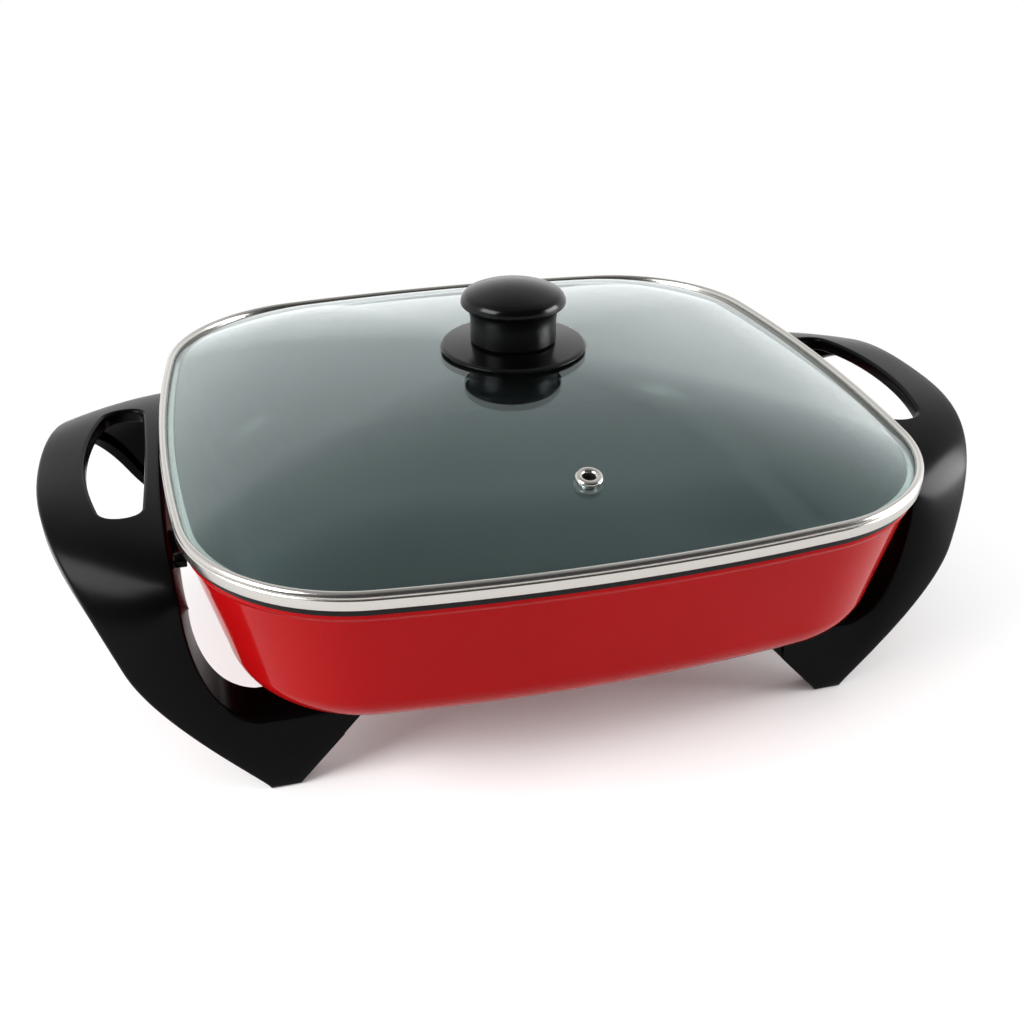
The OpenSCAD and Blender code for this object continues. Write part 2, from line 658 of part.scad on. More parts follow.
// Knob, turned about the lid's middle: a cap on a waisted neck, over a wide skirt
glass_top = dome_z(dome_end);
gasket_t = 0.4;
// Fall of the skirt's underside to its rim, along the dome
skirt_sink = 0.6;
skirt_z = glass_top + gasket_t;
skirt_rim_z = skirt_z - skirt_sink;
skirt_top = skirt_rim_z + skirt_t + skirt_fall;
cap_z = skirt_top + neck_h;
cap_r = neck_d / 2 + cap_lip;
knob_top = cap_z + cap_h;
// Below 1, the cap has a fuller shoulder than an ellipse
cap_round = 0.82;
insert_wall = 2;
insert_d = knob_screw_d + 2 * insert_wall;
insert_l = 12;
module knob() {
  waist = neck_d / 2;
  foot_bead = 0.5;
  cap_n = 8;
  lip_n = 4;
  neck_n = 5;
  lip_in = cap_lip * 0.2;
  lip_drop = cap_lip * 0.25;
  sweep_h = neck_h * 0.42;
  cap_curve = [for (p = arc([0, 0], 1, 0, 90, cap_n))
    [cap_r * pow(p[0], cap_round), cap_z + cap_h * pow(p[1], cap_round)]];
  under_lip = [for (p = slice(arc([0, 0], 1, 0, 90, lip_n), 1, lip_n))
    [cap_r - lip_in * (1 - p[0]), cap_z - lip_drop * p[1]]];
  neck_x = cap_r - lip_in - waist;
  neck = [for (p = slice(arc([0, 0], 1, 0, 90, neck_n), 1, neck_n))
    [waist + neck_x * (1 - p[1]), cap_z - lip_drop - sweep_h * (1 - p[0])]];
  color("black") difference() {
    rotate_extrude() polygon(concat(
      [[0, skirt_top]],
      [[waist, skirt_top], [waist + foot_bead, skirt_top + foot_bead], [waist, skirt_top + 3 * foot_bead]],
      reversed(concat(under_lip, neck)),
      slice(cap_curve, 0, cap_n - 1),
      [[0, knob_top]]));
    translate([0, 0, skirt_top - past])
      cylinder(d = insert_d + 2 * seat_clear, h = insert_l + seat_clear + past);
  }
}
module knob_skirt() {
  outer = neck_d / 2 + skirt_lip;
  soft = skirt_t * 0.4;
  color("black") difference() {
    rotate_extrude() polygon([
      [0, skirt_z], [neck_d / 2, skirt_z], [outer - soft, skirt_rim_z], [outer, skirt_rim_z + soft],
      [outer, skirt_rim_z + skirt_t - soft], [outer - soft, skirt_rim_z + skirt_t],
      [neck_d / 2, skirt_top], [0, skirt_top]]);
    translate([0, 0, skirt_z - past])
      cylinder(d = knob_hole, h = skirt_top - skirt_z + 2 * past);
  }
}
// Threaded insert moulded into the knob's neck
module knob_insert() {
  color("goldenrod") translate([0, 0, skirt_top]) washer(insert_d, knob_screw_d + 2 * seat_clear, insert_l);
}
// Screw up through the glass, with its washer and gaskets
glass_under = glass_top - glass_t;
knob_hole = knob_screw_d + 2 * hole_clear;
knob_washer_d = 16;
tip_gap = 2;
module knob_gaskets() {
  color("dimgray") {
    translate([0, 0, glass_top]) washer(neck_d * 0.7, knob_hole, gasket_t);
    translate([0, 0, glass_under - gasket_t]) washer(knob_washer_d, knob_hole, gasket_t);
  }
}
module knob_washer() {
  color("silver") translate([0, 0, glass_under - gasket_t - washer_t])
    washer(knob_washer_d, knob_hole, washer_t);
}
module knob_screw() {
  seat = glass_under - gasket_t - washer_t;
  color("silver") translate([0, 0, seat]) rotate([180, 0, 0])
    screw(knob_screw_d, 2 * knob_screw_d, 0.7 * knob_screw_d, skirt_top + insert_l - tip_gap - seat);
}

// Steam vent: a rolled eyelet through the glass, clenched over a washer below
vent_tube_d = vent_hole_d + 2 * rim_t;
vent_s = vent_y / (pan_d / 2 + lid_overhang);
vent_z = dome_z(vent_s);
vent_tilt = atan(2 * dome_rise * vent_s / (pan_d / 2 + lid_overhang));
vent_lift = 0.5;
module vent_frame() {
  translate([0, -vent_y, vent_z]) rotate([vent_tilt, 0, 0]) children();
}
module vent_eyelet() {
  tail = glass_t + 2 * vent_lift + washer_t;
  flange_w = (vent_d - vent_hole_d) / 2;
  color("silver") vent_frame() difference() {
    union() {
      translate([0, 0, -tail]) cylinder(d = vent_tube_d, h = tail + vent_lift + fuse / 2);
      translate([0, 0, vent_lift]) intersection() {
        rotate_extrude() translate([vent_hole_d / 2 + flange_w / 2, 0]) circle(flange_w / 2);
        cylinder(d = vent_d + 1, h = vent_flange_h);
      }
    }
    translate([0, 0, -tail - past]) cylinder(d = vent_hole_d, h = tail + vent_flange_h + 4 * past);
  }
}
module vent_washer() {
  color("silver") vent_frame() translate([0, 0, -glass_t - vent_lift - washer_t])
    washer(vent_d, vent_tube_d + 2 * seat_clear, washer_t);
}

pan();
left_bracket();
right_bracket();
side_screws();
side_washers();
leg_screws();
leg_washers();
heating_element();
terminal_pins();
terminal_insulators();
inlet_guard();
guard_screws();
probe_sleeve();
lid_glass();
lid_rim();
knob();
knob_skirt();
knob_insert();
knob_screw();
knob_washer();
knob_gaskets();
vent_eyelet();
vent_washer();
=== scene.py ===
"""Looks of the electric hot pot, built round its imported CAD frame."""

import math

import bmesh
import bpy
import numpy as np
from mathutils import Matrix, Vector
from mathutils.bvhtree import BVHTree


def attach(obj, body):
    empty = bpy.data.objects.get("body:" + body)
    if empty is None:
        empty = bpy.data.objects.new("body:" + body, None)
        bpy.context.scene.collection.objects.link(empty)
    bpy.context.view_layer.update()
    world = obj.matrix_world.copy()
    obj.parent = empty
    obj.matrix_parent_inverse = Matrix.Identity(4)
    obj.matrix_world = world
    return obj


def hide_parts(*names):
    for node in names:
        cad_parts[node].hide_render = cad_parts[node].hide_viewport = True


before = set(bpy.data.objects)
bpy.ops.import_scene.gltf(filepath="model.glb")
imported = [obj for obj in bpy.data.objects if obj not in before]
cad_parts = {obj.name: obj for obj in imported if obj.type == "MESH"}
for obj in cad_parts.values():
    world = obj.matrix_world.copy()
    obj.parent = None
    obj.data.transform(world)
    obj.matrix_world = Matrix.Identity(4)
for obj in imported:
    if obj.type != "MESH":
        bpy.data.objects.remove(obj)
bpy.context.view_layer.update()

MM = 0.001

# Pan, in millimetres as in the part's source
PAN_W, PAN_D, PAN_H, BASE_CLEAR = 296.0, 286.0, 63.2, 46.0
CORNER_R, SIDE_BOW, FRONT_BOW = 68.0, 4.1, 4.4
WALL_T, FLOOR_T, WALL_LEAN, BASE_R = 3.2, 4.2, 7.0, 19.2
RIM_BAND_H, RIM_STEP = 4.6, 1.2
LIP_Z = BASE_CLEAR + PAN_H
WALL_TOP = LIP_Z - RIM_BAND_H - RIM_STEP
LEAN = math.atan(WALL_LEAN / (WALL_TOP - BASE_CLEAR))
INNER_STEP = WALL_T / math.cos(LEAN)
PAN_FLOOR_Z = BASE_CLEAR + FLOOR_T
# How far the coating of the inside wraps over the lip and down the band
COAT_WRAP = 3.0
COAT_EDGE_Z = LIP_Z - COAT_WRAP
# Softened edges: below the band, at its step, at the lip, and inside below the lip
STEP_SOFT, BAND_SOFT, LIP_SOFT, INSIDE_SOFT = 1.4, 0.9, 0.8, 1.5
# Rings that fill the pan's floor, as shares of its edge
FLOOR_RINGS = (0.01, 0.3, 0.6, 0.85)

# Lid
LID_OVERHANG, LID_GAP, GLASS_T, DOME_RISE = 2.0, 0.3, 4.0, 21.9
RIM_FACE_H, BEAD_W, BEAD_H, LEDGE_W, RIM_T, WEB_T = 4.2, 3.4, 2.4, 6.8, 0.75, 1.0
RIM_CREASE, RIM_SOFT, RIM_FOLD, LEDGE_SOFT = 0.4, 0.35, 1.2, 0.3
GLASS_GAP = 0.5
# Steps along each side and round each corner of the lid's outline
LID_STEPS = (24, 64)
LID_Z = LIP_Z + LID_GAP
LID_X = PAN_W / 2 + LID_OVERHANG
LID_Y = PAN_D / 2 + LID_OVERHANG
RIM_TOP = LID_Z + RIM_FACE_H + BEAD_H
CROWN_Z = RIM_TOP + DOME_RISE
GLASS_BOTTOM = LID_Z + RIM_T
SLOT_TOP = GLASS_BOTTOM + GLASS_T
# Shares of the way from the crown to the edge: the seat in the rim, the start of the steeper
# fall to it, and the flat under the knob
SEAT_S, FALL_S, DOME_END = 1 - (BEAD_W + GLASS_GAP) / LID_X, 0.72, 0.12
EDGE_FALL = CROWN_Z - DOME_RISE * SEAT_S ** 2 - SLOT_TOP

# Knob and vent
NECK_D, CAP_LIP, NECK_H, CAP_H, CAP_EDGE = 36.4, 3.9, 17.2, 8.5, 4.8
LIP_IN, LIP_DROP, NECK_SWEEP = 0.2 * CAP_LIP, 0.25 * CAP_LIP, 0.42 * NECK_H
NECK_FOOT, FOOT_SOFT = 0.9, 1.0
SKIRT_LIP, SKIRT_T, SKIRT_FALL, SKIRT_SINK, GASKET_T = 13.0, 1.8, 1.0, 0.6, 0.4
# Bevels of the skirt's lower and upper edge, and the softening of each corner of its profile
SKIRT_LOW, SKIRT_HIGH, SKIRT_DOWN = 0.7, 1.1, 0.8
SKIRT_SOFT = [0, 1, 0.5, 0.4, 0.7, 0.9, 1, 0]
KNOB_HOLE_R = 2.9
VENT_D, VENT_HOLE_D, VENT_Y, VENT_FLANGE_H, VENT_LIFT = 10.4, 4.6, 103.5, 1.8, 0.5
VENT_ROUND, VENT_BITE, VENT_EDGE = 0.78, 0.1, 0.2
WASHER_T = 0.9

# Brackets
HANDLE_REACH, HANDLE_DROP, BRACKET_GAP = 48.4, 3.4, 2.0
LEG_SETBACK, FOOT_INSET, FOOT_W = 49.0, 24.0, 11.6
BRACKET_T, INNER_FLANGE, OUTER_FLANGE, FACE_CROWN = 4.6, 17.5, 9.0, 1.4
FACE_LEAN, FLANGE_DRAFT, EDGE_SOFT, FLANGE_SOFT, CHANNEL_SOFT = 61.0, 0.17, 1.6, 0.9, 1.2
CROWN_SHARES = np.linspace(0.12, 0.88, 9)
SLOT_W, SLOT_L, SLOT_STRIP, SLOT_BOW, SLOT_ROUND = 23.2, 97.0, 6.8, 6.6, 1.6
# Corner radius and end bow as shares of the slot's width, and lower roll as a share of the upper
SLOT_CORNER, SLOT_END_BOW, SLOT_UNDER = 0.3, 0.045, 0.4
SLOT_STEPS = (14, 14)
# Heights from the grip's top between which the slot is cut
SLOT_CUT = (-22.0, 20.0)
SIDE_SCREW_Y, PAD_H, BOSS_D, BOSS_OVER = 52.0, 3.0, 13.0, 4.0
BOSS_SOFT, PAD_SOFT = 0.5, 0.4
# Places of the screws as shares of the inner flange's depth
SIDE_SCREW_S, LEG_SCREW_S = 0.8, 0.7
LIMB_GAP, LEG_SCREW_IN, KNEE_REACH, KNEE_RISE = 12.6, 22.6, 22.8, 16.5
LIMB_CLIMB, LIMB_END_H, HOOD_FALL = 1.13, 12.2, 22.0
TIP_RISE, TIP_SOFT, TIP_OVERLAP, TIP_SINK = 2.0, 1.4, 1.0, 0.1
# Ends of the face's edge curves at the knee and on the limb
KNEE_OUT_Y, KNEE_IN_X, KNEE_IN_Y, LIMB_IN_X, LIMB_IN_Y = 5.7, 2.7, 4.3, 0.8, 2.0
# Handles of those curves at the grip, the knee, the hood, the foot, the shank and the ledge
BAR_RUN, STRIP_RUN = SLOT_L / 2 - 8.5, SLOT_L / 2 + 26.0
KNEE_RUN_X, KNEE_RUN_Y, KNEE_RUN_FALL = -18.0, -15.3, 1.0
HOOD_RUN, FOOT_RUN = (0, 0, 0.75 * HOOD_FALL), (2, 0, 5)
SHANK_RUN, LEDGE_RUN = (0, 0, 10.3), (20, 0, 4.8)
STUB_D, STUB_REACH, STUB_IN, STUB_FALL = 5.6, 4.5, 21.0, 8.0
GRIP_Z = LIP_Z - HANDLE_DROP
LEG_Y = PAN_D / 2 - LEG_SETBACK
FOOT_X = PAN_W / 2 - FOOT_INSET
LIMB_Z = BASE_CLEAR - LIMB_GAP
SEAT_CLEAR = 0.2

# Heater and inlet
ELEMENT_D, LOOP_X, LOOP_Y, LOOP_R, TURN_R = 7.0, 88.0, 83.0, 30.0, 9.0
RIB_T, RIB_H, RIB_SOFT, PIN_PITCH = 3.0, 6.0, 0.9, 36.0
PROBE_D, PROBE_IN, PROBE_COVER, PROBE_SOFT = 9.0, 22.0, 1.5, 1.2
GUARD_W, GUARD_H, GUARD_L, GUARD_T, GUARD_R, GUARD_SOFT = 76.0, 34.0, 25.0, 2.6, 6.0, 0.8
GUARD_DROP, GUARD_GAP, GUARD_PITCH = 2.0, 2.0, 58.0
INSULATOR_L, PIN_BACK = 9.0, 2.0
TONGUE_W, TONGUE_GAP, TONGUE_DROP, TONGUE_SOFT = 11.0, 3.0, 8.0, 0.6

# Meshes: how far cast bosses and ribs run into what carries them, a height above everything,
# and the distance below which points count as one
FUSE, ABOVE_ALL, TINY = 1.0, 200.0, 1e-6
# Steps round a boss, the stub, the eyelet and the knob
BOSS_N, STUB_N, VENT_N, KNOB_N = 48, 40, 64, 128
# Angles in degrees past which an edge shows as sharp
SHARP, BRACKET_SHARP, GLASS_SHARP, RIM_SHARP = 40, 32, 50, 35
# Most of a side that the rounding of one corner takes, and how many radii away a corner's curve
# starts, to look round
CORNER_SHARE, CORNER_REACH = 0.49, 1.4


# Curves and outlines


def arc(centre, r, start, end, n):
    """Points of a circle's arc between two angles in degrees."""
    t = np.radians(np.linspace(start, end, n + 1))
    return np.asarray(centre, float) + r * np.column_stack([np.cos(t), np.sin(t)])


def bow_circle(half, across, r, bow):
    """Centre on its axis and radius of a bowed side that stands half out."""
    radius = ((across - r) ** 2 + bow * bow) / (2 * bow)
    return half - radius, radius


def bowed_outline(a, b, r, side_bow, front_bow, inset=0.0, side_n=12, corner_n=26):
    """Rounded rectangle with bowed sides, counter-clockwise, moved in by inset."""
    side_c, side_r = bow_circle(a, b, r, side_bow)
    front_c, front_r = bow_circle(b, a, r, front_bow)
    p, q = np.array([side_c, 0.0]), np.array([0.0, front_c])
    rp, rq = side_r - r, front_r - r
    d = np.linalg.norm(q - p)
    u = (q - p) / d
    run = (rp * rp - rq * rq + d * d) / (2 * d)
    c = p + u * run + np.array([-u[1], u[0]]) * math.sqrt(rp * rp - run * run)
    t1 = math.degrees(math.atan2(c[1], c[0] - side_c))
    t2 = math.degrees(math.atan2(c[1] - front_c, c[0]))
    quarter = np.vstack([
        arc(p, side_r - inset, 0, t1, side_n)[:-1],
        arc(c, r - inset, t1, t2, corner_n)[:-1],
        arc(q, front_r - inset, t2, 90, side_n),
    ])
    back = quarter[::-1]
    left = back[1:] * [-1, 1]
    return np.vstack([quarter, left, quarter[1:] * [-1, -1], back[1:-1] * [1, -1]])


def pan_outline(inset, *steps):
    return bowed_outline(PAN_W / 2, PAN_D / 2, CORNER_R, SIDE_BOW, FRONT_BOW, inset, *steps)


def lid_outline(inset):
    return pan_outline(inset - LID_OVERHANG, *LID_STEPS)


def at_height(outline, z):
    return np.column_stack([outline, np.full(len(outline), z)])


def rounded(points, radii, n=5, closed=False):
    """Polyline with each corner turned into a curve that starts its radius away."""
    pts = [np.asarray(p, float) for p in points]
    out = []
    for i, p in enumerate(pts):
        if radii[i] <= 0 or (not closed and i in (0, len(pts) - 1)):
            out.append(p)
            continue
        before, after = pts[i - 1] - p, pts[(i + 1) % len(pts)] - p
        lb, la = np.linalg.norm(before), np.linalg.norm(after)
        r = min(radii[i], CORNER_SHARE * lb, CORNER_SHARE * la)
        start, end = p + before / lb * r, p + after / la * r
        for t in np.linspace(0, 1, n + 1):
            out.append((1 - t) ** 2 * start + 2 * t * (1 - t) * p + t * t * end)
    return np.array(out)


def cubic(p, t):
    """Point of a cubic curve with an end, two handles and an end."""
    s = 1 - t
    return s ** 3 * p[0] + 3 * t * s ** 2 * p[1] + 3 * t * t * s * p[2] + t ** 3 * p[3]


def wall_inset(z):
    return RIM_STEP + WALL_LEAN * (WALL_TOP - z) / (WALL_TOP - BASE_CLEAR)


def wall_x(y, z):
    """Outer wall of the pan at height z and distance y from the middle."""
    centre, radius = bow_circle(PAN_W / 2, PAN_D / 2, CORNER_R, SIDE_BOW)
    return centre + math.sqrt((radius - wall_inset(z)) ** 2 - y * y)


# Meshes


class Shape:
    """Points and faces of one mesh, in millimetres, with a material number for each face."""

    def __init__(self):
        self.points, self.faces, self.kinds = [], [], []

    def add(self, points, faces, kind=0):
        base = len(self.points)
        self.points += [tuple(p) for p in points]
        self.faces += [tuple(base + i for i in f) for f in faces]
        self.kinds += [kind] * len(faces) if isinstance(kind, int) else list(kind)
        return self

    def join(self, other, flip=(1, 1, 1)):
        return self.add(np.array(other.points) * flip, other.faces, other.kinds)

    def skin(self, rings, closed=False, kinds=None, caps=True):
        """Quads between rings of points, and a face on each end."""
        n, m = len(rings[0]), len(rings)
        faces, marks = [], []
        for k in range(m if closed else m - 1):
            for i in range(n):
                a, b = k * n + i, (k + 1) % m * n + i
                c, d = (k + 1) % m * n + (i + 1) % n, k * n + (i + 1) % n
                faces.append((a, d, c, b))
                marks.append(kinds[k] if kinds else 0)
        if caps and not closed:
            faces += [tuple(range(n))[::-1], tuple((m - 1) * n + i for i in range(n))]
            marks += [marks[0], marks[-1]]
        return self.add(np.vstack(rings), faces, marks)

    def lathe(self, profile, place=Matrix.Identity(4), n=96, kind=0):
        """Turns a profile of [radius, height] about the Z axis of a place."""
        points, faces, rows = [], [], []
        turns = np.linspace(0, 2 * math.pi, n, endpoint=False)
        for r, z in profile:
            if r < TINY:
                rows.append([len(points)])
                points.append(place @ Vector((0, 0, z)))
            else:
                rows.append(list(range(len(points), len(points) + n)))
                points += [place @ Vector((r * math.cos(t), r * math.sin(t), z)) for t in turns]
        for low, high in zip(rows, rows[1:]):
            for i in range(n):
                j = (i + 1) % n
                if len(low) == 1:
                    faces.append((low[0], high[j], high[i]))
                elif len(high) == 1:
                    faces.append((low[i], low[j], high[0]))
                else:
                    faces.append((low[i], low[j], high[j], high[i]))
        return self.add(points, faces, kind)

    def build(self, name, materials, sharp=SHARP):
        mesh = bpy.data.meshes.new(name)
        mesh.from_pydata([Vector(p) * MM for p in self.points], [], self.faces)
        for m in materials:
            mesh.materials.append(m)
        mesh.polygons.foreach_set("material_index", self.kinds)
        bm = bmesh.new()
        bm.from_mesh(mesh)
        bmesh.ops.recalc_face_normals(bm, faces=bm.faces)
        bm.to_mesh(mesh)
        bm.free()
        finish_mesh(mesh, sharp)
        obj = bpy.data.objects.new(name, mesh)
        bpy.context.scene.collection.objects.link(obj)
        return obj


def finish_mesh(mesh, sharp):
    mesh.polygons.foreach_set("use_smooth", [True] * len(mesh.polygons))
    mesh.set_sharp_from_angle(angle=math.radians(sharp))
    mesh.update()


def cut(obj, cutter, sharp=SHARP):
    """Takes the cutter's space out of obj and removes the cutter."""
    mod = obj.modifiers.new("cut", "BOOLEAN")
    mod.operation, mod.solver, mod.object = "DIFFERENCE", "EXACT", cutter
    bpy.context.view_layer.update()
    whole = obj.evaluated_get(bpy.context.evaluated_depsgraph_get())
    mesh = bpy.data.meshes.new_from_object(whole)
    obj.modifiers.clear()
    old, obj.data = obj.data, mesh
    mesh.name = obj.name
    bpy.data.meshes.remove(old)
    bpy.data.objects.remove(cutter)
    finish_mesh(mesh, sharp)


def along_x(x, y, z):
    """Place whose Z axis runs along +X."""
    return Matrix.Translation((x, y, z)) @ Matrix.Rotation(math.radians(90), 4, "Y")


def disc(r, h, soft):
    """Profile of a round boss with softened edges, from its foot to its top."""
    return rounded([(0, 0), (r, 0), (r, h), (0, h)], [0, soft, soft, 0], 3)


def block(low, high, soft):
    """Box with softened edges."""
    low, high = np.array(low, float), np.array(high, float)
    mid, half = (low + high) / 2, (high - low) / 2

    def ring(inset, z):
        a, b = half[:2] - inset
        corners = [(a, -b), (a, b), (-a, b), (-a, -b)]
        return at_height(rounded(corners, [1.5 * soft - inset] * 4, 4, closed=True) + mid[:2], z)

    turns = np.radians([0, 30, 60, 90])
    edge = [(soft * (1 - math.sin(t)), soft * (1 - math.cos(t))) for t in turns]
    rings = [ring(inset, low[2] + rise) for inset, rise in edge]
    rings += [ring(inset, high[2] - rise) for inset, rise in edge[::-1]]
    return Shape().skin(rings)


def sweep(path, section):
    """Carries a section of [sideways, up] along a level path."""
    rings = []
    for i, p in enumerate(path):
        d = path[min(i + 1, len(path) - 1)] - path[max(i - 1, 0)]
        side = np.array([d[1], -d[0], 0]) / np.hypot(d[0], d[1])
        rings.append([p + s * side + h * np.array([0, 0, 1.0]) for s, h in section])
    return Shape().skin(rings)


def mirrored(shape, flips):
    out = Shape()
    for flip in flips:
        out.join(shape, flip)
    return out


FRONT_BACK = [(1, 1, 1), (1, -1, 1)]
FOUR_WAYS = FRONT_BACK + [(-1, 1, 1), (-1, -1, 1)]


# Places that the pieces share

SIDE_SCREW_Z = GRIP_Z - SIDE_SCREW_S * INNER_FLANGE
PAD_X = wall_x(SIDE_SCREW_Y, SIDE_SCREW_Z) + PAD_H
PILLAR_X, PILLAR_Y = FOOT_X - LEG_SCREW_IN, LEG_Y - LEG_SCREW_S * INNER_FLANGE
PILLAR_Z = BASE_CLEAR - PAD_H
ELEMENT_Z = BASE_CLEAR - ELEMENT_D / 2 - SEAT_CLEAR
GROOVE_W = ELEMENT_D + 2 * SEAT_CLEAR
TAIL_Y = PIN_PITCH / 2
GUARD_Z = ELEMENT_Z - GUARD_DROP
GUARD_X = wall_x(0, GUARD_Z + GUARD_H / 2) + GUARD_GAP
PIN_X = GUARD_X - (INSULATOR_L - GUARD_T) / 2 - PIN_BACK
TONGUE_X = LOOP_X + GROOVE_W / 2 + RIB_T + TONGUE_W / 2 + TONGUE_GAP
TONGUE_Z = BASE_CLEAR - TONGUE_DROP
GLASS_TOP = CROWN_Z - DOME_RISE * DOME_END ** 2
SKIRT_Z = GLASS_TOP + GASKET_T
SKIRT_RIM_Z = SKIRT_Z - SKIRT_SINK
SKIRT_TOP = SKIRT_RIM_Z + SKIRT_T + SKIRT_FALL
CAP_Z = SKIRT_TOP + NECK_H
KNOB_TOP = CAP_Z + CAP_H


# Pan


def fillet(inset, level, r, n):
    """Curve from the flat at a level up to the leaning wall, as [inset, height]."""
    centre = np.array([inset + r * math.tan(math.pi / 4 + LEAN / 2), level + r])
    t = np.linspace(0, math.pi / 2 - LEAN, n + 1)
    return centre + r * np.column_stack([-np.sin(t), -np.cos(t)])


def pan_shell():
    """Pan wall and floor; kind 0 is the enamel outside, kind 1 the coating inside."""
    base = fillet(RIM_STEP + WALL_LEAN, BASE_CLEAR, BASE_R, 20)
    floor_inset = wall_inset(PAN_FLOOR_Z) + INNER_STEP
    floor = fillet(floor_inset, PAN_FLOOR_Z, BASE_R - WALL_T, 18)[::-1]
    lip_w = RIM_STEP + INNER_STEP
    outer = rounded(
        [base[-1], (RIM_STEP, WALL_TOP), (0, WALL_TOP + RIM_STEP), (0, COAT_EDGE_Z)],
        [0, STEP_SOFT, BAND_SOFT, 0])
    inner = rounded(
        [(0, COAT_EDGE_Z), (0, LIP_Z), (lip_w, LIP_Z), (lip_w, WALL_TOP), floor[0]],
        [0, LIP_SOFT, LIP_SOFT, INSIDE_SOFT, 0])
    enamel = np.vstack([base[:-1], outer])
    profile = np.vstack([enamel, inner[1:], floor[1:]])
    walls = [at_height(pan_outline(inset), z) for inset, z in profile]
    under = [walls[0] * [s, s, 1] for s in FLOOR_RINGS]
    inside = [walls[-1] * [s, s, 1] for s in FLOOR_RINGS[::-1]]
    rings = under + walls + inside
    outside_n = len(under) + len(enamel) - 1
    kinds = [0 if k < outside_n else 1 for k in range(len(rings) - 1)]
    return Shape().skin(rings, kinds=kinds)


def loop_path(offset):
    """Open run beside the element's loop, from one side of its ends to the other."""
    a, b, r = LOOP_X + offset, LOOP_Y + offset, LOOP_R + offset
    gap = TAIL_Y + TURN_R
    flat = np.vstack([
        [(a, -gap)], arc((a - r, r - b), r, 0, -90, 12), arc((r - a, r - b), r, 270, 180, 12),
        arc((r - a, b - r), r, 180, 90, 12), arc((a - r, b - r), r, 90, 0, 12), [(a, gap)]])
    return at_height(flat, BASE_CLEAR - RIB_H)


def pan_underside():
    """Cast ribs round the element, the probe's block, and the pads and posts for screws."""
    out = Shape()
    half, top = RIB_T / 2, RIB_H + FUSE
    rib = rounded([(-half, top), (-half, 0), (half, 0), (half, top)], [0, RIB_SOFT, RIB_SOFT, 0], 3)
    for side in (-1, 1):
        out.join(sweep(loop_path(side * (GROOVE_W + RIB_T) / 2), rib))
    probe_z = BASE_CLEAR - PROBE_D / 2 - PROBE_COVER
    block_w = PROBE_D + 2 * RIB_T
    block_x = wall_x(TAIL_Y, BASE_CLEAR) - BASE_R - FUSE
    out.join(block((LOOP_X - PROBE_IN, -block_w / 2, probe_z - PROBE_D / 2 - RIB_T),
                   (block_x, block_w / 2, BASE_CLEAR + FUSE), PROBE_SOFT))
    pads = Shape().lathe(disc(BOSS_D / 2, PAD_H + FUSE, PAD_SOFT),
                         Matrix.Translation((PILLAR_X, PILLAR_Y, PILLAR_Z)), BOSS_N)
    root = wall_x(SIDE_SCREW_Y, SIDE_SCREW_Z - BOSS_D / 2) - SEAT_CLEAR
    pads.lathe(disc(BOSS_D / 2, PAD_X - root, PAD_SOFT),
               along_x(root, SIDE_SCREW_Y, SIDE_SCREW_Z), BOSS_N)
    out.join(mirrored(pads, FOUR_WAYS))
    post = Shape().lathe(disc(TONGUE_W / 2, TONGUE_DROP + FUSE, PAD_SOFT),
                         Matrix.Translation((TONGUE_X, GUARD_PITCH / 2, TONGUE_Z)), BOSS_N)
    return out.join(mirrored(post, FRONT_BACK))


# Brackets


def edge_curves():
    """Outer and inner edge of a bracket's face, each two cubic curves from the grip to the foot."""
    grip_x, inner_x = LID_X + HANDLE_REACH, PAN_W / 2 + BRACKET_GAP
    grip_out, grip_in = np.array([grip_x, 0, GRIP_Z]), np.array([inner_x, 0, GRIP_Z])
    knee_out = np.array([PAN_W / 2 + KNEE_REACH, KNEE_OUT_Y - LEG_Y, BASE_CLEAR + KNEE_RISE])
    knee_in = np.array([inner_x - KNEE_IN_X, KNEE_IN_Y - LEG_Y, GRIP_Z - HOOD_FALL])
    foot_out = np.array([FOOT_X, -LEG_Y, 0.0])
    limb_in = np.array([FOOT_X + LIMB_IN_X, LIMB_IN_Y - LEG_Y, LIMB_Z])
    knee_run = np.array([KNEE_RUN_X, KNEE_RUN_Y, knee_out[2] - GRIP_Z - KNEE_RUN_FALL])
    outer = [[grip_out, grip_out - [0, BAR_RUN, 0], knee_out - knee_run, knee_out],
             [knee_out, knee_out + knee_run / 2, foot_out + FOOT_RUN, foot_out]]
    inner = [[grip_in, grip_in - [0, STRIP_RUN, 0], knee_in + HOOD_RUN, knee_in],
             [knee_in, knee_in - SHANK_RUN, limb_in + LEDGE_RUN, limb_in]]
    return outer, inner, foot_out, limb_in


def channel(w):
    """U-shaped section in [distance from the inner edge, depth behind the face]."""
    t, draft = BRACKET_T, FLANGE_DRAFT
    crown = [(u * w, -FACE_CROWN * 4 * u * (1 - u)) for u in CROWN_SHARES]
    outer = [(w, 0), (w, OUTER_FLANGE), (w - t, OUTER_FLANGE), (w - t, t)]
    inner = [(t - draft * t, t), (t - draft * INNER_FLANGE, INNER_FLANGE),
             (-draft * INNER_FLANGE, INNER_FLANGE)]
    soft = [EDGE_SOFT, *[0] * len(crown), EDGE_SOFT, FLANGE_SOFT, FLANGE_SOFT, CHANNEL_SOFT,
            CHANNEL_SOFT, FLANGE_SOFT, FLANGE_SOFT]
    return rounded([(0, 0), *crown, *outer, *inner], soft, 4, closed=True)


def section(inner, outer, angle):
    """The channel between two points of the edge curves, its depth turned by an angle from down."""
    w = np.linalg.norm(outer - inner)
    u = (outer - inner) / w
    d = np.array([0, math.sin(math.radians(angle)), -math.cos(math.radians(angle))])
    return np.array([inner + p[0] * u + p[1] * d for p in channel(w)])


def limb_end_x():
    """Where the limb's lower edge has climbed to its end height."""
    return FOOT_X - FOOT_W - (LIMB_Z - LIMB_END_H) / LIMB_CLIMB


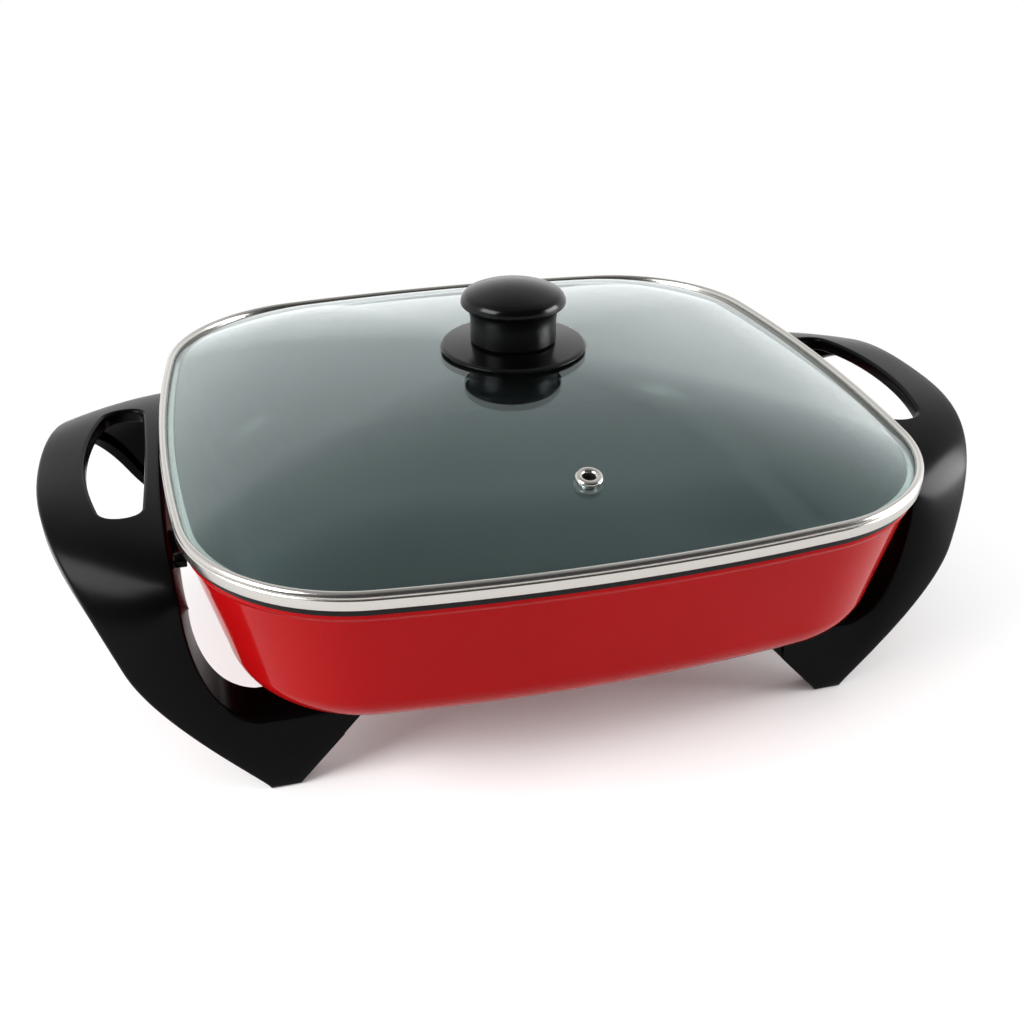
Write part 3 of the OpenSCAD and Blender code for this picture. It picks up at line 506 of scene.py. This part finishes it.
def bracket_loft(station_n=36):
    """The channel carried along the edge curves, from one limb's end to the other's."""
    outer, inner, foot_out, limb_in = edge_curves()
    sections = []
    for i in range(2 * station_n + 1):
        t = i / station_n
        k, s = (0, t) if t <= 1 else (1, t - 1)
        angle = FACE_LEAN * t * t if t <= 1 else 90 - (90 - FACE_LEAN) * (2 - t) ** 2
        sections.append(section(cubic(inner[k], s), cubic(outer[k], s), angle))
    foot_in, end_x = foot_out - [FOOT_W, 0, 0], limb_end_x()
    end_in = np.array([end_x, limb_in[1], LIMB_Z])
    end_out = np.array([end_x, -LEG_Y, LIMB_Z - LIMB_END_H])
    sections.append(section(np.array([foot_in[0], limb_in[1], LIMB_Z]), foot_in, 90))
    sections.append(section(end_in, end_out, 90))
    rear = [s * [1, -1, 1] for s in sections[1:]]
    return Shape().skin(sections[::-1] + rear)


def slot_outline(grow):
    """Outline of the finger slot, bent round the pan's side and moved out by grow."""
    slot_x = PAN_W / 2 + BRACKET_GAP + SLOT_STRIP + SLOT_W / 2
    flat = bowed_outline(SLOT_W / 2, SLOT_L / 2, SLOT_CORNER * SLOT_W, SLOT_BOW / 2,
                         SLOT_END_BOW * SLOT_W, -grow, *SLOT_STEPS)
    bend = SLOT_BOW / 2 * (2 * flat[:, 1] / SLOT_L) ** 2
    return np.column_stack([flat[:, 0] - bend + slot_x, flat[:, 1]])


def slot_lip(loft):
    """Rolled edge round the finger slot, from the face down to the underside."""
    tree = BVHTree.FromPolygons([Vector(p) for p in loft.points], loft.faces)
    rim = slot_outline(SLOT_ROUND)

    def met(start, way):
        hits = [tree.ray_cast(Vector((x, y, start)), Vector((0, 0, way)))[0] for x, y in rim]
        return np.array([hit.z for hit in hits])

    def rolled(edge, size, a):
        flat = slot_outline(abs(size) * (1 - math.sin(a)))
        return np.column_stack([flat, edge - size * (1 - math.cos(a))])

    top, low = met(ABOVE_ALL, -1), met(0, 1)
    turns = np.radians(np.linspace(0, 90, 9))
    rings = [rolled(top, SLOT_ROUND, a) for a in turns]
    rings += [rolled(low, -SLOT_UNDER * SLOT_ROUND, a) for a in turns[::-2]]
    rings.append(np.column_stack([rim, low]))
    return Shape().skin(rings, closed=True)


def limb_tip():
    """Web that carries the limb's face on to its tip under the pan, with a rounded lower edge."""
    foot_x = FOOT_X - FOOT_W
    tip_x = foot_x - (LIMB_Z + TIP_RISE) / LIMB_CLIMB
    lean = LIMB_IN_Y / LIMB_END_H
    tops = [(limb_end_x() + TIP_OVERLAP, LIMB_Z - TIP_SINK),
            (tip_x, LIMB_Z + TIP_RISE + 2 * TIP_SOFT)]
    ends = [(x, top, (foot_x - x) * LIMB_CLIMB) for x, top in tops]
    rings = []
    for c, s in arc((0, 0), 1, 0, 90, 4):
        back, up = TIP_SOFT * (1 - c), TIP_SOFT * (1 - s)
        near, far = [[(x, LEG_Y - back - lean * (top - low), top), (x, LEG_Y - back, low + up)]
                     for x, top, low in ends]
        rings.append([near[0], *far, near[1]])
    rings.append([(x, y - BRACKET_T + TIP_SOFT, z) for x, y, z in rings[-1]])
    return Shape().skin(rings)


def bracket_fixings():
    """Screw bosses, the stub that spaces a bracket from the pan, and the tip of the limb."""
    out = limb_tip()
    out.lathe(disc(BOSS_D / 2, BRACKET_T + BOSS_OVER, BOSS_SOFT),
              along_x(PAD_X, SIDE_SCREW_Y, SIDE_SCREW_Z), BOSS_N)
    under = LIMB_Z - BRACKET_T
    out.lathe(disc(BOSS_D / 2, PILLAR_Z - under, PAD_SOFT),
              Matrix.Translation((PILLAR_X, PILLAR_Y, under)), BOSS_N)
    stub_y, stub_z = LEG_Y - STUB_IN, GRIP_Z - STUB_FALL
    stub_x = wall_x(stub_y - STUB_D / 2, stub_z + STUB_D / 2) + SEAT_CLEAR
    out.lathe(disc(STUB_D / 2, STUB_REACH, BOSS_SOFT), along_x(stub_x, stub_y, stub_z), STUB_N)
    return mirrored(out, FRONT_BACK)


def make_bracket(name, side, material):
    loft, flip = bracket_loft(), (side, 1, 1)
    body = mirrored(loft, [flip]).build(name, [material], BRACKET_SHARP)
    prism = Shape().skin([at_height(slot_outline(SLOT_ROUND), GRIP_Z + z) for z in SLOT_CUT])
    cut(body, mirrored(prism, [flip]).build(name + "_cutter", [material]), BRACKET_SHARP)
    extra = mirrored(slot_lip(loft).join(bracket_fixings()), [flip])
    return merged(body, extra.build(name + "_extra", [material]))


def merged(obj, other):
    """Moves the other object's mesh into obj."""
    bm = bmesh.new()
    bm.from_mesh(obj.data)
    bm.from_mesh(other.data)
    bm.to_mesh(obj.data)
    bm.free()
    mesh = other.data
    bpy.data.objects.remove(other)
    bpy.data.meshes.remove(mesh)
    return obj


def welded(obj):
    """Joins points that lie on each other."""
    bm = bmesh.new()
    bm.from_mesh(obj.data)
    bmesh.ops.remove_doubles(bm, verts=bm.verts, dist=TINY)
    bmesh.ops.recalc_face_normals(bm, faces=bm.faces)
    bm.to_mesh(obj.data)
    bm.free()
    return obj


# Lid


def edge_share(s):
    """How far a place on the dome is into the steeper fall, from 0 to 1 at the seat."""
    return max(0.0, (s - FALL_S) / (SEAT_S - FALL_S))


def dome_z(s):
    """Height of the dome: a shallow bowl that falls off to its seat in the rim."""
    return CROWN_Z - DOME_RISE * s * s - EDGE_FALL * edge_share(s) ** 2


def glass_rings(drop, dome_n=40):
    """Rings of one face of the glass, from its edge in the rim to the hole under the knob."""
    rim, seat = lid_outline(0), lid_outline(BEAD_W + GLASS_GAP)
    rings = [at_height(lid_outline(WEB_T + GLASS_GAP), SLOT_TOP)]
    for s in np.linspace(SEAT_S, DOME_END, dome_n + 1):
        near = edge_share(s)
        rings.append(at_height(seat * near * s / SEAT_S + rim * (1 - near) * s, dome_z(s)))
    turn = np.arctan2(rim[:, 1], rim[:, 0])
    rings.append(at_height(KNOB_HOLE_R * np.column_stack([np.cos(turn), np.sin(turn)]), GLASS_TOP))
    return [r - [0, 0, drop] for r in rings]


def vent_place():
    s = VENT_Y / LID_Y
    tilt = math.atan(2 * DOME_RISE * s / LID_Y)
    return Matrix.Translation((0, -VENT_Y, dome_z(s))) @ Matrix.Rotation(tilt, 4, "X")


def make_glass(material):
    rings = glass_rings(0) + glass_rings(GLASS_T)[::-1]
    glass = Shape().skin(rings, closed=True).build("lid_glass_dome", [material], GLASS_SHARP)
    hole_r, past = VENT_HOLE_D / 2 + RIM_T + SEAT_CLEAR, 3 * GLASS_T
    profile = [(0, -past), (hole_r, -past), (hole_r, past), (0, past)]
    hole = Shape().lathe(profile, vent_place(), BOSS_N).build("vent_cutter", [material])
    cut(glass, hole, GLASS_SHARP)
    return glass


def lid_rim():
    """Pressed steel rim: flat band, rolled bead over the glass and ledge under it."""
    mid_z = LID_Z + RIM_FACE_H
    half = BEAD_W / 2
    bead = [(half + half * x, mid_z + BEAD_H * z) for x, z in arc((0, 0), 1, 180, 0, 18)]
    face = rounded([(RIM_FOLD, LID_Z), (0, LID_Z), (0, mid_z - RIM_CREASE), (RIM_CREASE, mid_z)],
                   [0, RIM_SOFT, RIM_SOFT, 0], 4)
    ledge_end = LEDGE_W - LEDGE_SOFT
    inside = [(BEAD_W, SLOT_TOP), (WEB_T, SLOT_TOP), (WEB_T, GLASS_BOTTOM),
              (ledge_end, GLASS_BOTTOM), (LEDGE_W, GLASS_BOTTOM - RIM_T / 2), (ledge_end, LID_Z)]
    profile = np.vstack([face, bead[2:-1], inside])
    return Shape().skin([at_height(lid_outline(i), z) for i, z in profile], closed=True)


def knob():
    """Cap on a waisted neck, turned."""
    waist, cap_r = NECK_D / 2, NECK_D / 2 + CAP_LIP
    foot = rounded([(0, SKIRT_TOP), (waist - NECK_FOOT, SKIRT_TOP), (waist, SKIRT_TOP + NECK_FOOT),
                    (waist, SKIRT_TOP + 3 * NECK_FOOT)], [0, 0, FOOT_SOFT, 0], 5)
    neck_x, neck_z = cap_r - LIP_IN - waist, CAP_Z - LIP_DROP
    neck = [(waist + neck_x * (1 - s), neck_z - NECK_SWEEP * (1 - c))
            for c, s in arc((0, 0), 1, 90, 0, 14)]
    lip = [(cap_r - LIP_IN * (1 - c), CAP_Z - LIP_DROP * s) for c, s in arc((0, 0), 1, 90, 0, 10)]
    flat_r = cap_r - CAP_EDGE
    crown_r = (flat_r ** 2 + CAP_H ** 2 - CAP_EDGE ** 2) / (2 * (CAP_H - CAP_EDGE))
    steep = math.degrees(math.asin(flat_r / (crown_r - CAP_EDGE)))
    edge = arc((flat_r, CAP_Z), CAP_EDGE, 0, 90 - steep, 12)
    dome = arc((0, KNOB_TOP - crown_r), crown_r, 90 - steep, 90, 20)[1:]
    dome[-1, 0] = 0
    return Shape().lathe(np.vstack([foot, neck, lip[1:], edge[1:], dome]), n=KNOB_N)


def knob_skirt():
    """Disc under the knob, its top falling to a bevelled edge."""
    inner, outer, high = NECK_D / 2, NECK_D / 2 + SKIRT_LIP, SKIRT_RIM_Z + SKIRT_T
    profile = [(0, SKIRT_Z), (inner, SKIRT_Z), (outer - SKIRT_LOW, SKIRT_RIM_Z),
               (outer, SKIRT_RIM_Z + SKIRT_LOW), (outer, high - SKIRT_DOWN),
               (outer - SKIRT_HIGH, high), (inner, SKIRT_TOP), (0, SKIRT_TOP)]
    return Shape().lathe(rounded(profile, SKIRT_SOFT, 6), n=KNOB_N)


def vent_eyelet():
    """Rolled eyelet, kind 0, with a tube through the glass, kind 1, whose dark finish is painted
    shade under the eyelet.
    """
    roll = (VENT_D - VENT_HOLE_D) / 4
    middle, hole_r = VENT_HOLE_D / 2 + roll, VENT_HOLE_D / 2
    tail = GLASS_T + 2 * VENT_LIFT + WASHER_T
    tube_r, under = hole_r + RIM_T, VENT_LIFT - VENT_BITE
    top = [(middle + roll * c, VENT_LIFT + VENT_FLANGE_H * VENT_ROUND * s)
           for c, s in arc((0, 0), 1, 0, 180, 16)]
    flange = [(tube_r, under), (middle + roll - VENT_EDGE, under), *top]
    tube = [top[-1], (hole_r, -tail), (tube_r, -tail), (tube_r, under)]
    return Shape().lathe(flange, vent_place(), VENT_N).lathe(tube, vent_place(), VENT_N, 1)


# Heater and inlet


def element():
    """Sheathed tube bent round the loop, its ends led out to the right."""
    half = np.vstack([
        [(PIN_X, TAIL_Y)], arc((LOOP_X + TURN_R, TAIL_Y + TURN_R), TURN_R, 270, 180, 12),
        arc((LOOP_X - LOOP_R, LOOP_Y - LOOP_R), LOOP_R, 0, 90, 16),
        arc((LOOP_R - LOOP_X, LOOP_Y - LOOP_R), LOOP_R, 90, 180, 16), [(-LOOP_X, 0)]])
    path = at_height(np.vstack([half, half[::-1][1:] * [1, -1]]), ELEMENT_Z)
    return sweep(path, arc((0, 0), ELEMENT_D / 2, 0, 360, 28)[:-1])


def inlet_guard():
    """Open box round the inlet, held by two tongues under the pan."""
    def ring(inset, x):
        a, b = GUARD_H / 2 - inset, GUARD_W / 2 - inset
        corners = [(b, -a), (b, a), (-b, a), (-b, -a)]
        pts = rounded(corners, [CORNER_REACH * (GUARD_R - inset)] * 4, 8, closed=True)
        return [(GUARD_X + x, y, GUARD_Z + z) for y, z in pts]

    soft, turn = GUARD_SOFT, 0.3 * GUARD_SOFT
    outside = [(soft, 0), (turn, turn), (0, soft), (0, GUARD_L - soft), (turn, GUARD_L - turn),
               (soft, GUARD_L)]
    inside = [(GUARD_T - soft, GUARD_L), (GUARD_T - turn, GUARD_L - turn),
              (GUARD_T, GUARD_L - soft), (GUARD_T, GUARD_T + soft), (GUARD_T + soft, GUARD_T)]
    out = Shape().skin([ring(inset, x) for inset, x in outside + inside])
    for side in (-1, 1):
        y = side * GUARD_PITCH / 2
        out.join(block((TONGUE_X - TONGUE_W / 2, y - TONGUE_W / 2, TONGUE_Z - GUARD_T),
                       (GUARD_X + GUARD_T / 2, y + TONGUE_W / 2, TONGUE_Z), TONGUE_SOFT))
    return out


# Finishes

# Range that a noise texture mostly keeps to, and the range of the normal's height in which
# an upright side turns into a top
NOISE_RANGE, SIDE_RANGE = (0.25, 0.75), (0.15, 0.4)


class Finish:
    """A Principled material whose colour, roughness and bump vary by noise in object space."""

    def __init__(self, name, **values):
        self.material = bpy.data.materials.new(name)
        self.material.use_nodes = True
        self.tree = self.material.node_tree
        self.shader = self.tree.nodes["Principled BSDF"]
        self.coords = self.tree.nodes.new("ShaderNodeTexCoord").outputs["Object"]
        for key, value in values.items():
            self.shader.inputs[key.replace("_", " ")].default_value = value

    def link(self, source, target):
        self.tree.links.new(source, target)

    def noise(self, scale, detail=3.0, stretch=(1, 1, 1), rough=0.55):
        mapping = self.tree.nodes.new("ShaderNodeMapping")
        mapping.inputs["Scale"].default_value = stretch
        self.link(self.coords, mapping.inputs["Vector"])
        tex = self.tree.nodes.new("ShaderNodeTexNoise")
        tex.inputs["Scale"].default_value = scale
        tex.inputs["Detail"].default_value = detail
        tex.inputs["Roughness"].default_value = rough
        self.link(mapping.outputs["Vector"], tex.inputs["Vector"])
        return tex.outputs["Fac"]

    def ramp(self, source, stops):
        node = self.tree.nodes.new("ShaderNodeValToRGB")
        elements = node.color_ramp.elements
        elements[0].position, elements[1].position = stops[0][0], stops[-1][0]
        for _ in stops[1:-1]:
            elements.new(0.5)
        for element, (position, colour) in zip(elements, stops):
            element.position = position
            element.color = (*colour, 1)
        self.link(source, node.inputs["Fac"])
        return node.outputs["Color"]

    def map_range(self, source, limits, low, high=0.0):
        node = self.tree.nodes.new("ShaderNodeMapRange")
        node.inputs["From Min"].default_value, node.inputs["From Max"].default_value = limits
        node.inputs["To Min"].default_value, node.inputs["To Max"].default_value = low, high
        self.link(source, node.inputs["Value"])
        return node

    def spread(self, source, low, high):
        return self.map_range(source, NOISE_RANGE, low, high).outputs["Result"]

    def colour(self, source, stops):
        self.link(self.ramp(source, stops), self.shader.inputs["Base Color"])

    def roughness(self, source, low, high):
        self.link(self.spread(source, low, high), self.shader.inputs["Roughness"])

    def side_roughness(self, source, low, high, sides):
        """Roughness that rises to a moulded satin where the surface stands upright."""
        upright = self.tree.nodes.new("ShaderNodeSeparateXYZ")
        normal = self.tree.nodes.new("ShaderNodeTexCoord").outputs["Normal"]
        self.link(normal, upright.inputs["Vector"])
        node = self.map_range(upright.outputs["Z"], SIDE_RANGE, sides)
        self.link(self.spread(source, low, high), node.inputs["To Max"])
        self.link(node.outputs["Result"], self.shader.inputs["Roughness"])

    def bump(self, layers):
        """Layers of [source, height in millimetres], one on the other."""
        normal = None
        for source, height in layers:
            node = self.tree.nodes.new("ShaderNodeBump")
            node.inputs["Distance"].default_value = height * MM
            self.link(source, node.inputs["Height"])
            if normal:
                self.link(normal, node.inputs["Normal"])
            normal = node.outputs["Normal"]
        self.link(normal, self.shader.inputs["Normal"])


def enamel_finish():
    f = Finish("red_enamel", Specular_IOR_Level=0.05)
    broad, fine = f.noise(14, 2), f.noise(900, 2)
    f.colour(broad, [(0.3, (0.29, 0.0025, 0.003)), (0.7, (0.32, 0.003, 0.004))])
    f.roughness(fine, 0.06, 0.12)
    f.bump([(broad, 0.05), (fine, 0.004)])
    return f.material


def coating_finish():
    f = Finish("non_stick_coating", Specular_IOR_Level=0.18)
    speck, broad = f.noise(1400, 1), f.noise(20, 3)
    f.colour(speck, [(0.62, (0.0012, 0.0012, 0.0012)), (0.74, (0.003, 0.003, 0.0032))])
    f.roughness(broad, 0.3, 0.36)
    f.bump([(broad, 0.02), (speck, 0.0002)])
    return f.material


def moulding_finish(name, gloss, low, high, grain, sides=None):
    f = Finish(name, Specular_IOR_Level=gloss)
    broad, fine = f.noise(25, 3), f.noise(1800, 3)
    f.colour(broad, [(0.3, (0.0008, 0.0008, 0.0009)), (0.7, (0.0014, 0.0014, 0.0015))])
    if sides:
        f.side_roughness(broad, low, high, sides)
    else:
        f.roughness(broad, low, high)
    f.bump([(broad, 0.06), (fine, grain)])
    return f.material


def steel_finish(name, colour, low, high, stretch, grain):
    f = Finish(name, Metallic=1.0)
    brush, broad = f.noise(900, 4, stretch), f.noise(30, 3)
    shade = tuple(0.97 * c for c in colour)
    f.colour(brush, [(0.3, shade), (0.7, colour)])
    f.roughness(brush, low, high)
    f.bump([(broad, 0.02), (brush, grain)])
    return f.material


def sheath_finish():
    f = Finish("element_sheath", Metallic=1.0)
    broad, fine = f.noise(60, 5), f.noise(1500, 2)
    f.colour(broad, [(0.35, (0.10, 0.095, 0.09)), (0.6, (0.2, 0.19, 0.18)),
                     (0.75, (0.16, 0.12, 0.09))])
    f.roughness(broad, 0.42, 0.6)
    f.bump([(fine, 0.01)])
    return f.material


def ceramic_finish():
    f = Finish("white_ceramic", Specular_IOR_Level=0.4)
    broad, fine = f.noise(150, 4), f.noise(2500, 2)
    f.colour(broad, [(0.3, (0.72, 0.69, 0.62)), (0.7, (0.82, 0.8, 0.74))])
    f.roughness(broad, 0.5, 0.65)
    f.bump([(fine, 0.012)])
    return f.material


def silicone_finish():
    f = Finish("silicone", Sheen_Weight=0.1)
    broad, fine = f.noise(200, 3), f.noise(3000, 2)
    f.colour(broad, [(0.3, (0.05, 0.05, 0.05)), (0.7, (0.07, 0.07, 0.068))])
    f.roughness(broad, 0.55, 0.7)
    f.bump([(fine, 0.01)])
    return f.material


def glass_finish():
    """Clear glass that lets the lamps through, with a faint cast and light wiping marks."""
    f = Finish("clear_glass", Transmission_Weight=1.0, IOR=1.5, Roughness=0.0,
               Specular_Tint=(0.7, 1, 1, 1))
    marks = f.noise(9, 4, (1, 3, 1))
    f.colour(marks, [(0.3, (0.82, 0.955, 0.95)), (0.7, (0.85, 0.97, 0.965))])
    f.roughness(marks, 0.0, 0.02)
    nodes = f.tree.nodes
    path, clear = nodes.new("ShaderNodeLightPath"), nodes.new("ShaderNodeBsdfTransparent")
    clear.inputs["Color"].default_value = (0.9, 0.95, 0.94, 1)
    mix = nodes.new("ShaderNodeMixShader")
    f.link(path.outputs["Is Shadow Ray"], mix.inputs["Fac"])
    f.link(f.shader.outputs["BSDF"], mix.inputs[1])
    f.link(clear.outputs["BSDF"], mix.inputs[2])
    f.link(mix.outputs["Shader"], nodes["Material Output"].inputs["Surface"])
    return f.material


ENAMEL, COATING, SHEATH = enamel_finish(), coating_finish(), sheath_finish()
CERAMIC, SILICONE, GLASS = ceramic_finish(), silicone_finish(), glass_finish()
MOULDING = moulding_finish("black_moulding", gloss=0.06, low=0.2, high=0.28, grain=0.004)
KNOB_BLACK = moulding_finish("black_knob", gloss=0.18, low=0.15, high=0.2, grain=0.001, sides=0.3)
RIM_STEEL = steel_finish("rim_steel", (0.5, 0.482, 0.455), low=0.2, high=0.23,
                         stretch=(0.3, 0.3, 2), grain=0.0001)
FASTENER = steel_finish("fastener_steel", (0.62, 0.62, 0.6), low=0.28, high=0.42,
                        stretch=(1, 1, 1), grain=0.006)
BRASS = steel_finish("insert_brass", (0.72, 0.5, 0.2), low=0.25, high=0.38,
                     stretch=(1, 1, 0.2), grain=0.006)


# The object


def place(obj, body, node, slot):
    """Rides a piece on its body in place of its CAD node."""
    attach(obj, body)
    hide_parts(node)


pan_body = pan_shell().join(pan_underside()).build("pan_body", [ENAMEL, COATING])
place(pan_body, "base", "pan", "pan_enamel")
for bracket_name, bracket_side in (("left_bracket", -1), ("right_bracket", 1)):
    bracket = make_bracket(bracket_name + "_moulding", bracket_side, MOULDING)
    place(bracket, "base", bracket_name, "black_moulding")
place(element().build("element_tube", [SHEATH]), "base", "heating_element", "element_sheath")
place(inlet_guard().build("guard_moulding", [MOULDING]), "base", "inlet_guard", "black_moulding")
place(make_glass(GLASS), "lid", "lid_glass", "clear_glass")
place(lid_rim().build("rim_band", [RIM_STEEL], RIM_SHARP), "lid", "lid_rim", "rim_steel")
place(knob().build("knob_cap", [KNOB_BLACK]), "lid", "knob", "black_knob")
place(knob_skirt().build("knob_disc", [KNOB_BLACK]), "lid", "knob_skirt", "black_knob")
# The eyelet's tube takes the dark sheath finish as painted shade under the eyelet
vent_ring = welded(vent_eyelet().build("vent_ring", [RIM_STEEL, SHEATH]))
place(vent_ring, "lid", "vent_eyelet", "rim_steel")

# CAD nodes whose shape stays, with their finishes
KEPT = {
    "side_screws": FASTENER, "side_washers": FASTENER, "leg_screws": FASTENER,
    "leg_washers": FASTENER, "guard_screws": FASTENER, "terminal_pins": FASTENER,
    "terminal_insulators": CERAMIC, "probe_sleeve": FASTENER, "knob_insert": BRASS,
    "knob_screw": FASTENER, "knob_washer": FASTENER, "knob_gaskets": SILICONE,
    # The vent's washer takes the dark sheath finish as painted shade under the eyelet
    "vent_washer": SHEATH,
}
for node_name, finish in KEPT.items():
    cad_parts[node_name].material_slots[0].material = finish


# Studio, in metres and watts

CAMERA_PLACE, CAMERA_LOOK = (-0.1227, -0.4520, 0.3258), (0.226, 0.836, -0.5)
CAMERA_LENS, CAMERA_SENSOR = 41.14, 36.0
LAMP_SIZE, LAMP_TARGET = (0.9, 0.7), (0, 0, 0.08)
# Radius of the floor, its white for lighting and reflections, the white that the camera sees,
# and the glow added to that
FLOOR_R, FLOOR_WHITE, FLOOR_SHARE, FLOOR_GLOW = 6.0, 0.82, 0.88, 0.01
# Distances from the middle over which the floor that the camera sees turns plain white
FLOOR_FADE = (0.12, 0.42)
# Light of the surroundings by the sine of the height above the horizon, at the back and front
SKY_TOP = 1.6
SKY_REAR = [(0.0, 1.5), (0.26, 1.4), (0.42, 1.2), (0.57, 1.0), (0.78, 0.9), (0.88, 0.6), (1.0, 0.4)]
SKY_FRONT = [(0.0, 0.1), (0.3, 0.03), (0.8, 0.1), (1.0, 0.4)]
# Soft fill from the front, which lights but isn't mirrored
SKY_FILL = [(0.0, 0.1), (0.6, 0.1), (0.72, 1.55), (0.86, 1.55), (0.95, 0.45), (1.0, 0.45)]
# Range of a direction's Y in which the front turns into the back
SKY_TURN = (-0.55, 0.05)


def grey(level):
    return (level, level, level, 1)


def mix_shaders(new, link, share, first, second):
    mix = new("ShaderNodeMixShader")
    link(share, mix.inputs["Fac"])
    link(first, mix.inputs[1])
    link(second, mix.inputs[2])
    return mix.outputs["Shader"]


def smooth_step(new, link, source, limits):
    """0 to 1 as the source passes from the first limit to the second."""
    step = new("ShaderNodeMapRange")
    step.interpolation_type = "SMOOTHSTEP"
    step.inputs["From Min"].default_value, step.inputs["From Max"].default_value = limits
    link(source, step.inputs["Value"])
    return step.outputs["Result"]


def straight_view(new, link):
    """1 for what the camera sees straight or through glass, and 0 for reflections and lighting."""
    path = new("ShaderNodeLightPath")
    plain, through, seen = [new("ShaderNodeMath") for _ in range(3)]
    plain.operation, through.operation, seen.operation = "LESS_THAN", "MULTIPLY", "MAXIMUM"
    # A glossy depth below a half means that no mirror is on the way
    link(path.outputs["Glossy Depth"], plain.inputs[0])
    plain.inputs[1].default_value = 0.5
    link(path.outputs["Is Transmission Ray"], through.inputs[0])
    link(plain.outputs["Value"], through.inputs[1])
    link(path.outputs["Is Camera Ray"], seen.inputs[0])
    link(through.outputs["Value"], seen.inputs[1])
    return seen.outputs["Value"]


def floor_finish():
    """White floor that keeps the object's shadow near it and turns plain white further out."""
    material = bpy.data.materials.new("studio_floor")
    material.use_nodes = True
    tree = material.node_tree
    tree.nodes.clear()
    new, link = tree.nodes.new, tree.links.new
    coords, far = new("ShaderNodeTexCoord"), new("ShaderNodeVectorMath")
    far.operation = "LENGTH"
    link(coords.outputs["Object"], far.inputs[0])
    plain, lit = new("ShaderNodeBsdfDiffuse"), new("ShaderNodeBsdfDiffuse")
    glow, white = new("ShaderNodeEmission"), new("ShaderNodeEmission")
    plain.inputs["Color"].default_value = grey(FLOOR_WHITE)
    lit.inputs["Color"].default_value = grey(FLOOR_SHARE)
    glow.inputs["Strength"].default_value = FLOOR_GLOW
    near = new("ShaderNodeAddShader")
    link(lit.outputs["BSDF"], near.inputs[0])
    link(glow.outputs["Emission"], near.inputs[1])
    fade = smooth_step(new, link, far.outputs["Value"], FLOOR_FADE)
    shown = mix_shaders(new, link, fade, near.outputs["Shader"], white.outputs["Emission"])
    surface = mix_shaders(new, link, straight_view(new, link), plain.outputs["BSDF"], shown)
    link(surface, new("ShaderNodeOutputMaterial").inputs["Surface"])
    return material


def make_floor():
    mesh = bpy.data.meshes.new("studio_floor")
    ring = arc((0, 0), FLOOR_R, 0, 360, 64)[:-1]
    mesh.from_pydata([(x, y, 0) for x, y in ring], [], [tuple(range(len(ring)))])
    mesh.materials.append(floor_finish())
    floor = bpy.data.objects.new("studio_floor", mesh)
    bpy.context.scene.collection.objects.link(floor)


def make_world():
    """White at the back, dim at the front with a soft fill; the camera sees plain white."""
    world = bpy.data.worlds.new("studio")
    bpy.context.scene.world = world
    world.use_nodes = True
    tree = world.node_tree
    tree.nodes.clear()
    new, link = tree.nodes.new, tree.links.new
    coords, split = new("ShaderNodeTexCoord"), new("ShaderNodeSeparateXYZ")
    link(coords.outputs["Generated"], split.inputs["Vector"])

    def sky(stops):
        """Light by height above the horizon, as a share of the strongest."""
        ramp = new("ShaderNodeValToRGB")
        link(split.outputs["Z"], ramp.inputs["Fac"])
        elements = ramp.color_ramp.elements
        for _ in stops[2:]:
            elements.new(0.5)
        for element, (height, level) in zip(elements, stops):
            element.position = height
            element.color = grey(level / SKY_TOP)
        back = new("ShaderNodeBackground")
        back.inputs["Strength"].default_value = SKY_TOP
        link(ramp.outputs["Color"], back.inputs["Color"])
        return back.outputs["Background"]

    rear = smooth_step(new, link, split.outputs["Y"], SKY_TURN)
    mirrors = new("ShaderNodeLightPath").outputs["Is Glossy Ray"]
    shown = new("ShaderNodeBackground")
    shown.inputs["Color"].default_value = grey(1)
    front = mix_shaders(new, link, mirrors, sky(SKY_FILL), sky(SKY_FRONT))
    studio = mix_shaders(new, link, rear, front, sky(SKY_REAR))
    surface = mix_shaders(new, link, straight_view(new, link), studio, shown.outputs["Background"])
    link(surface, new("ShaderNodeOutputWorld").inputs["Surface"])


def aim(obj, spot, direction):
    """Puts a lamp or the camera in its place, looking along a direction."""
    obj.location = spot
    obj.rotation_euler = Vector(direction).to_track_quat("-Z", "Y").to_euler()
    bpy.context.scene.collection.objects.link(obj)
    return obj


def make_lamp(name, spot, power):
    light = bpy.data.lights.new(name, "AREA")
    light.shape, light.energy = "RECTANGLE", power
    light.size, light.size_y = LAMP_SIZE
    aim(bpy.data.objects.new(name, light), spot, Vector(LAMP_TARGET) - Vector(spot))


def make_camera():
    data = bpy.data.cameras.new("photo_camera")
    data.lens, data.sensor_width = CAMERA_LENS, CAMERA_SENSOR
    camera = bpy.data.objects.new("photo_camera", data)
    bpy.context.scene.camera = aim(camera, CAMERA_PLACE, CAMERA_LOOK)


make_camera()
make_world()
make_floor()
make_lamp("left_softbox", (-1.24, -0.38, 0.89), 25)
make_lamp("right_softbox", (1.5, -0.36, 0.42), 28)
bpy.context.scene.view_settings.view_transform = "Standard"
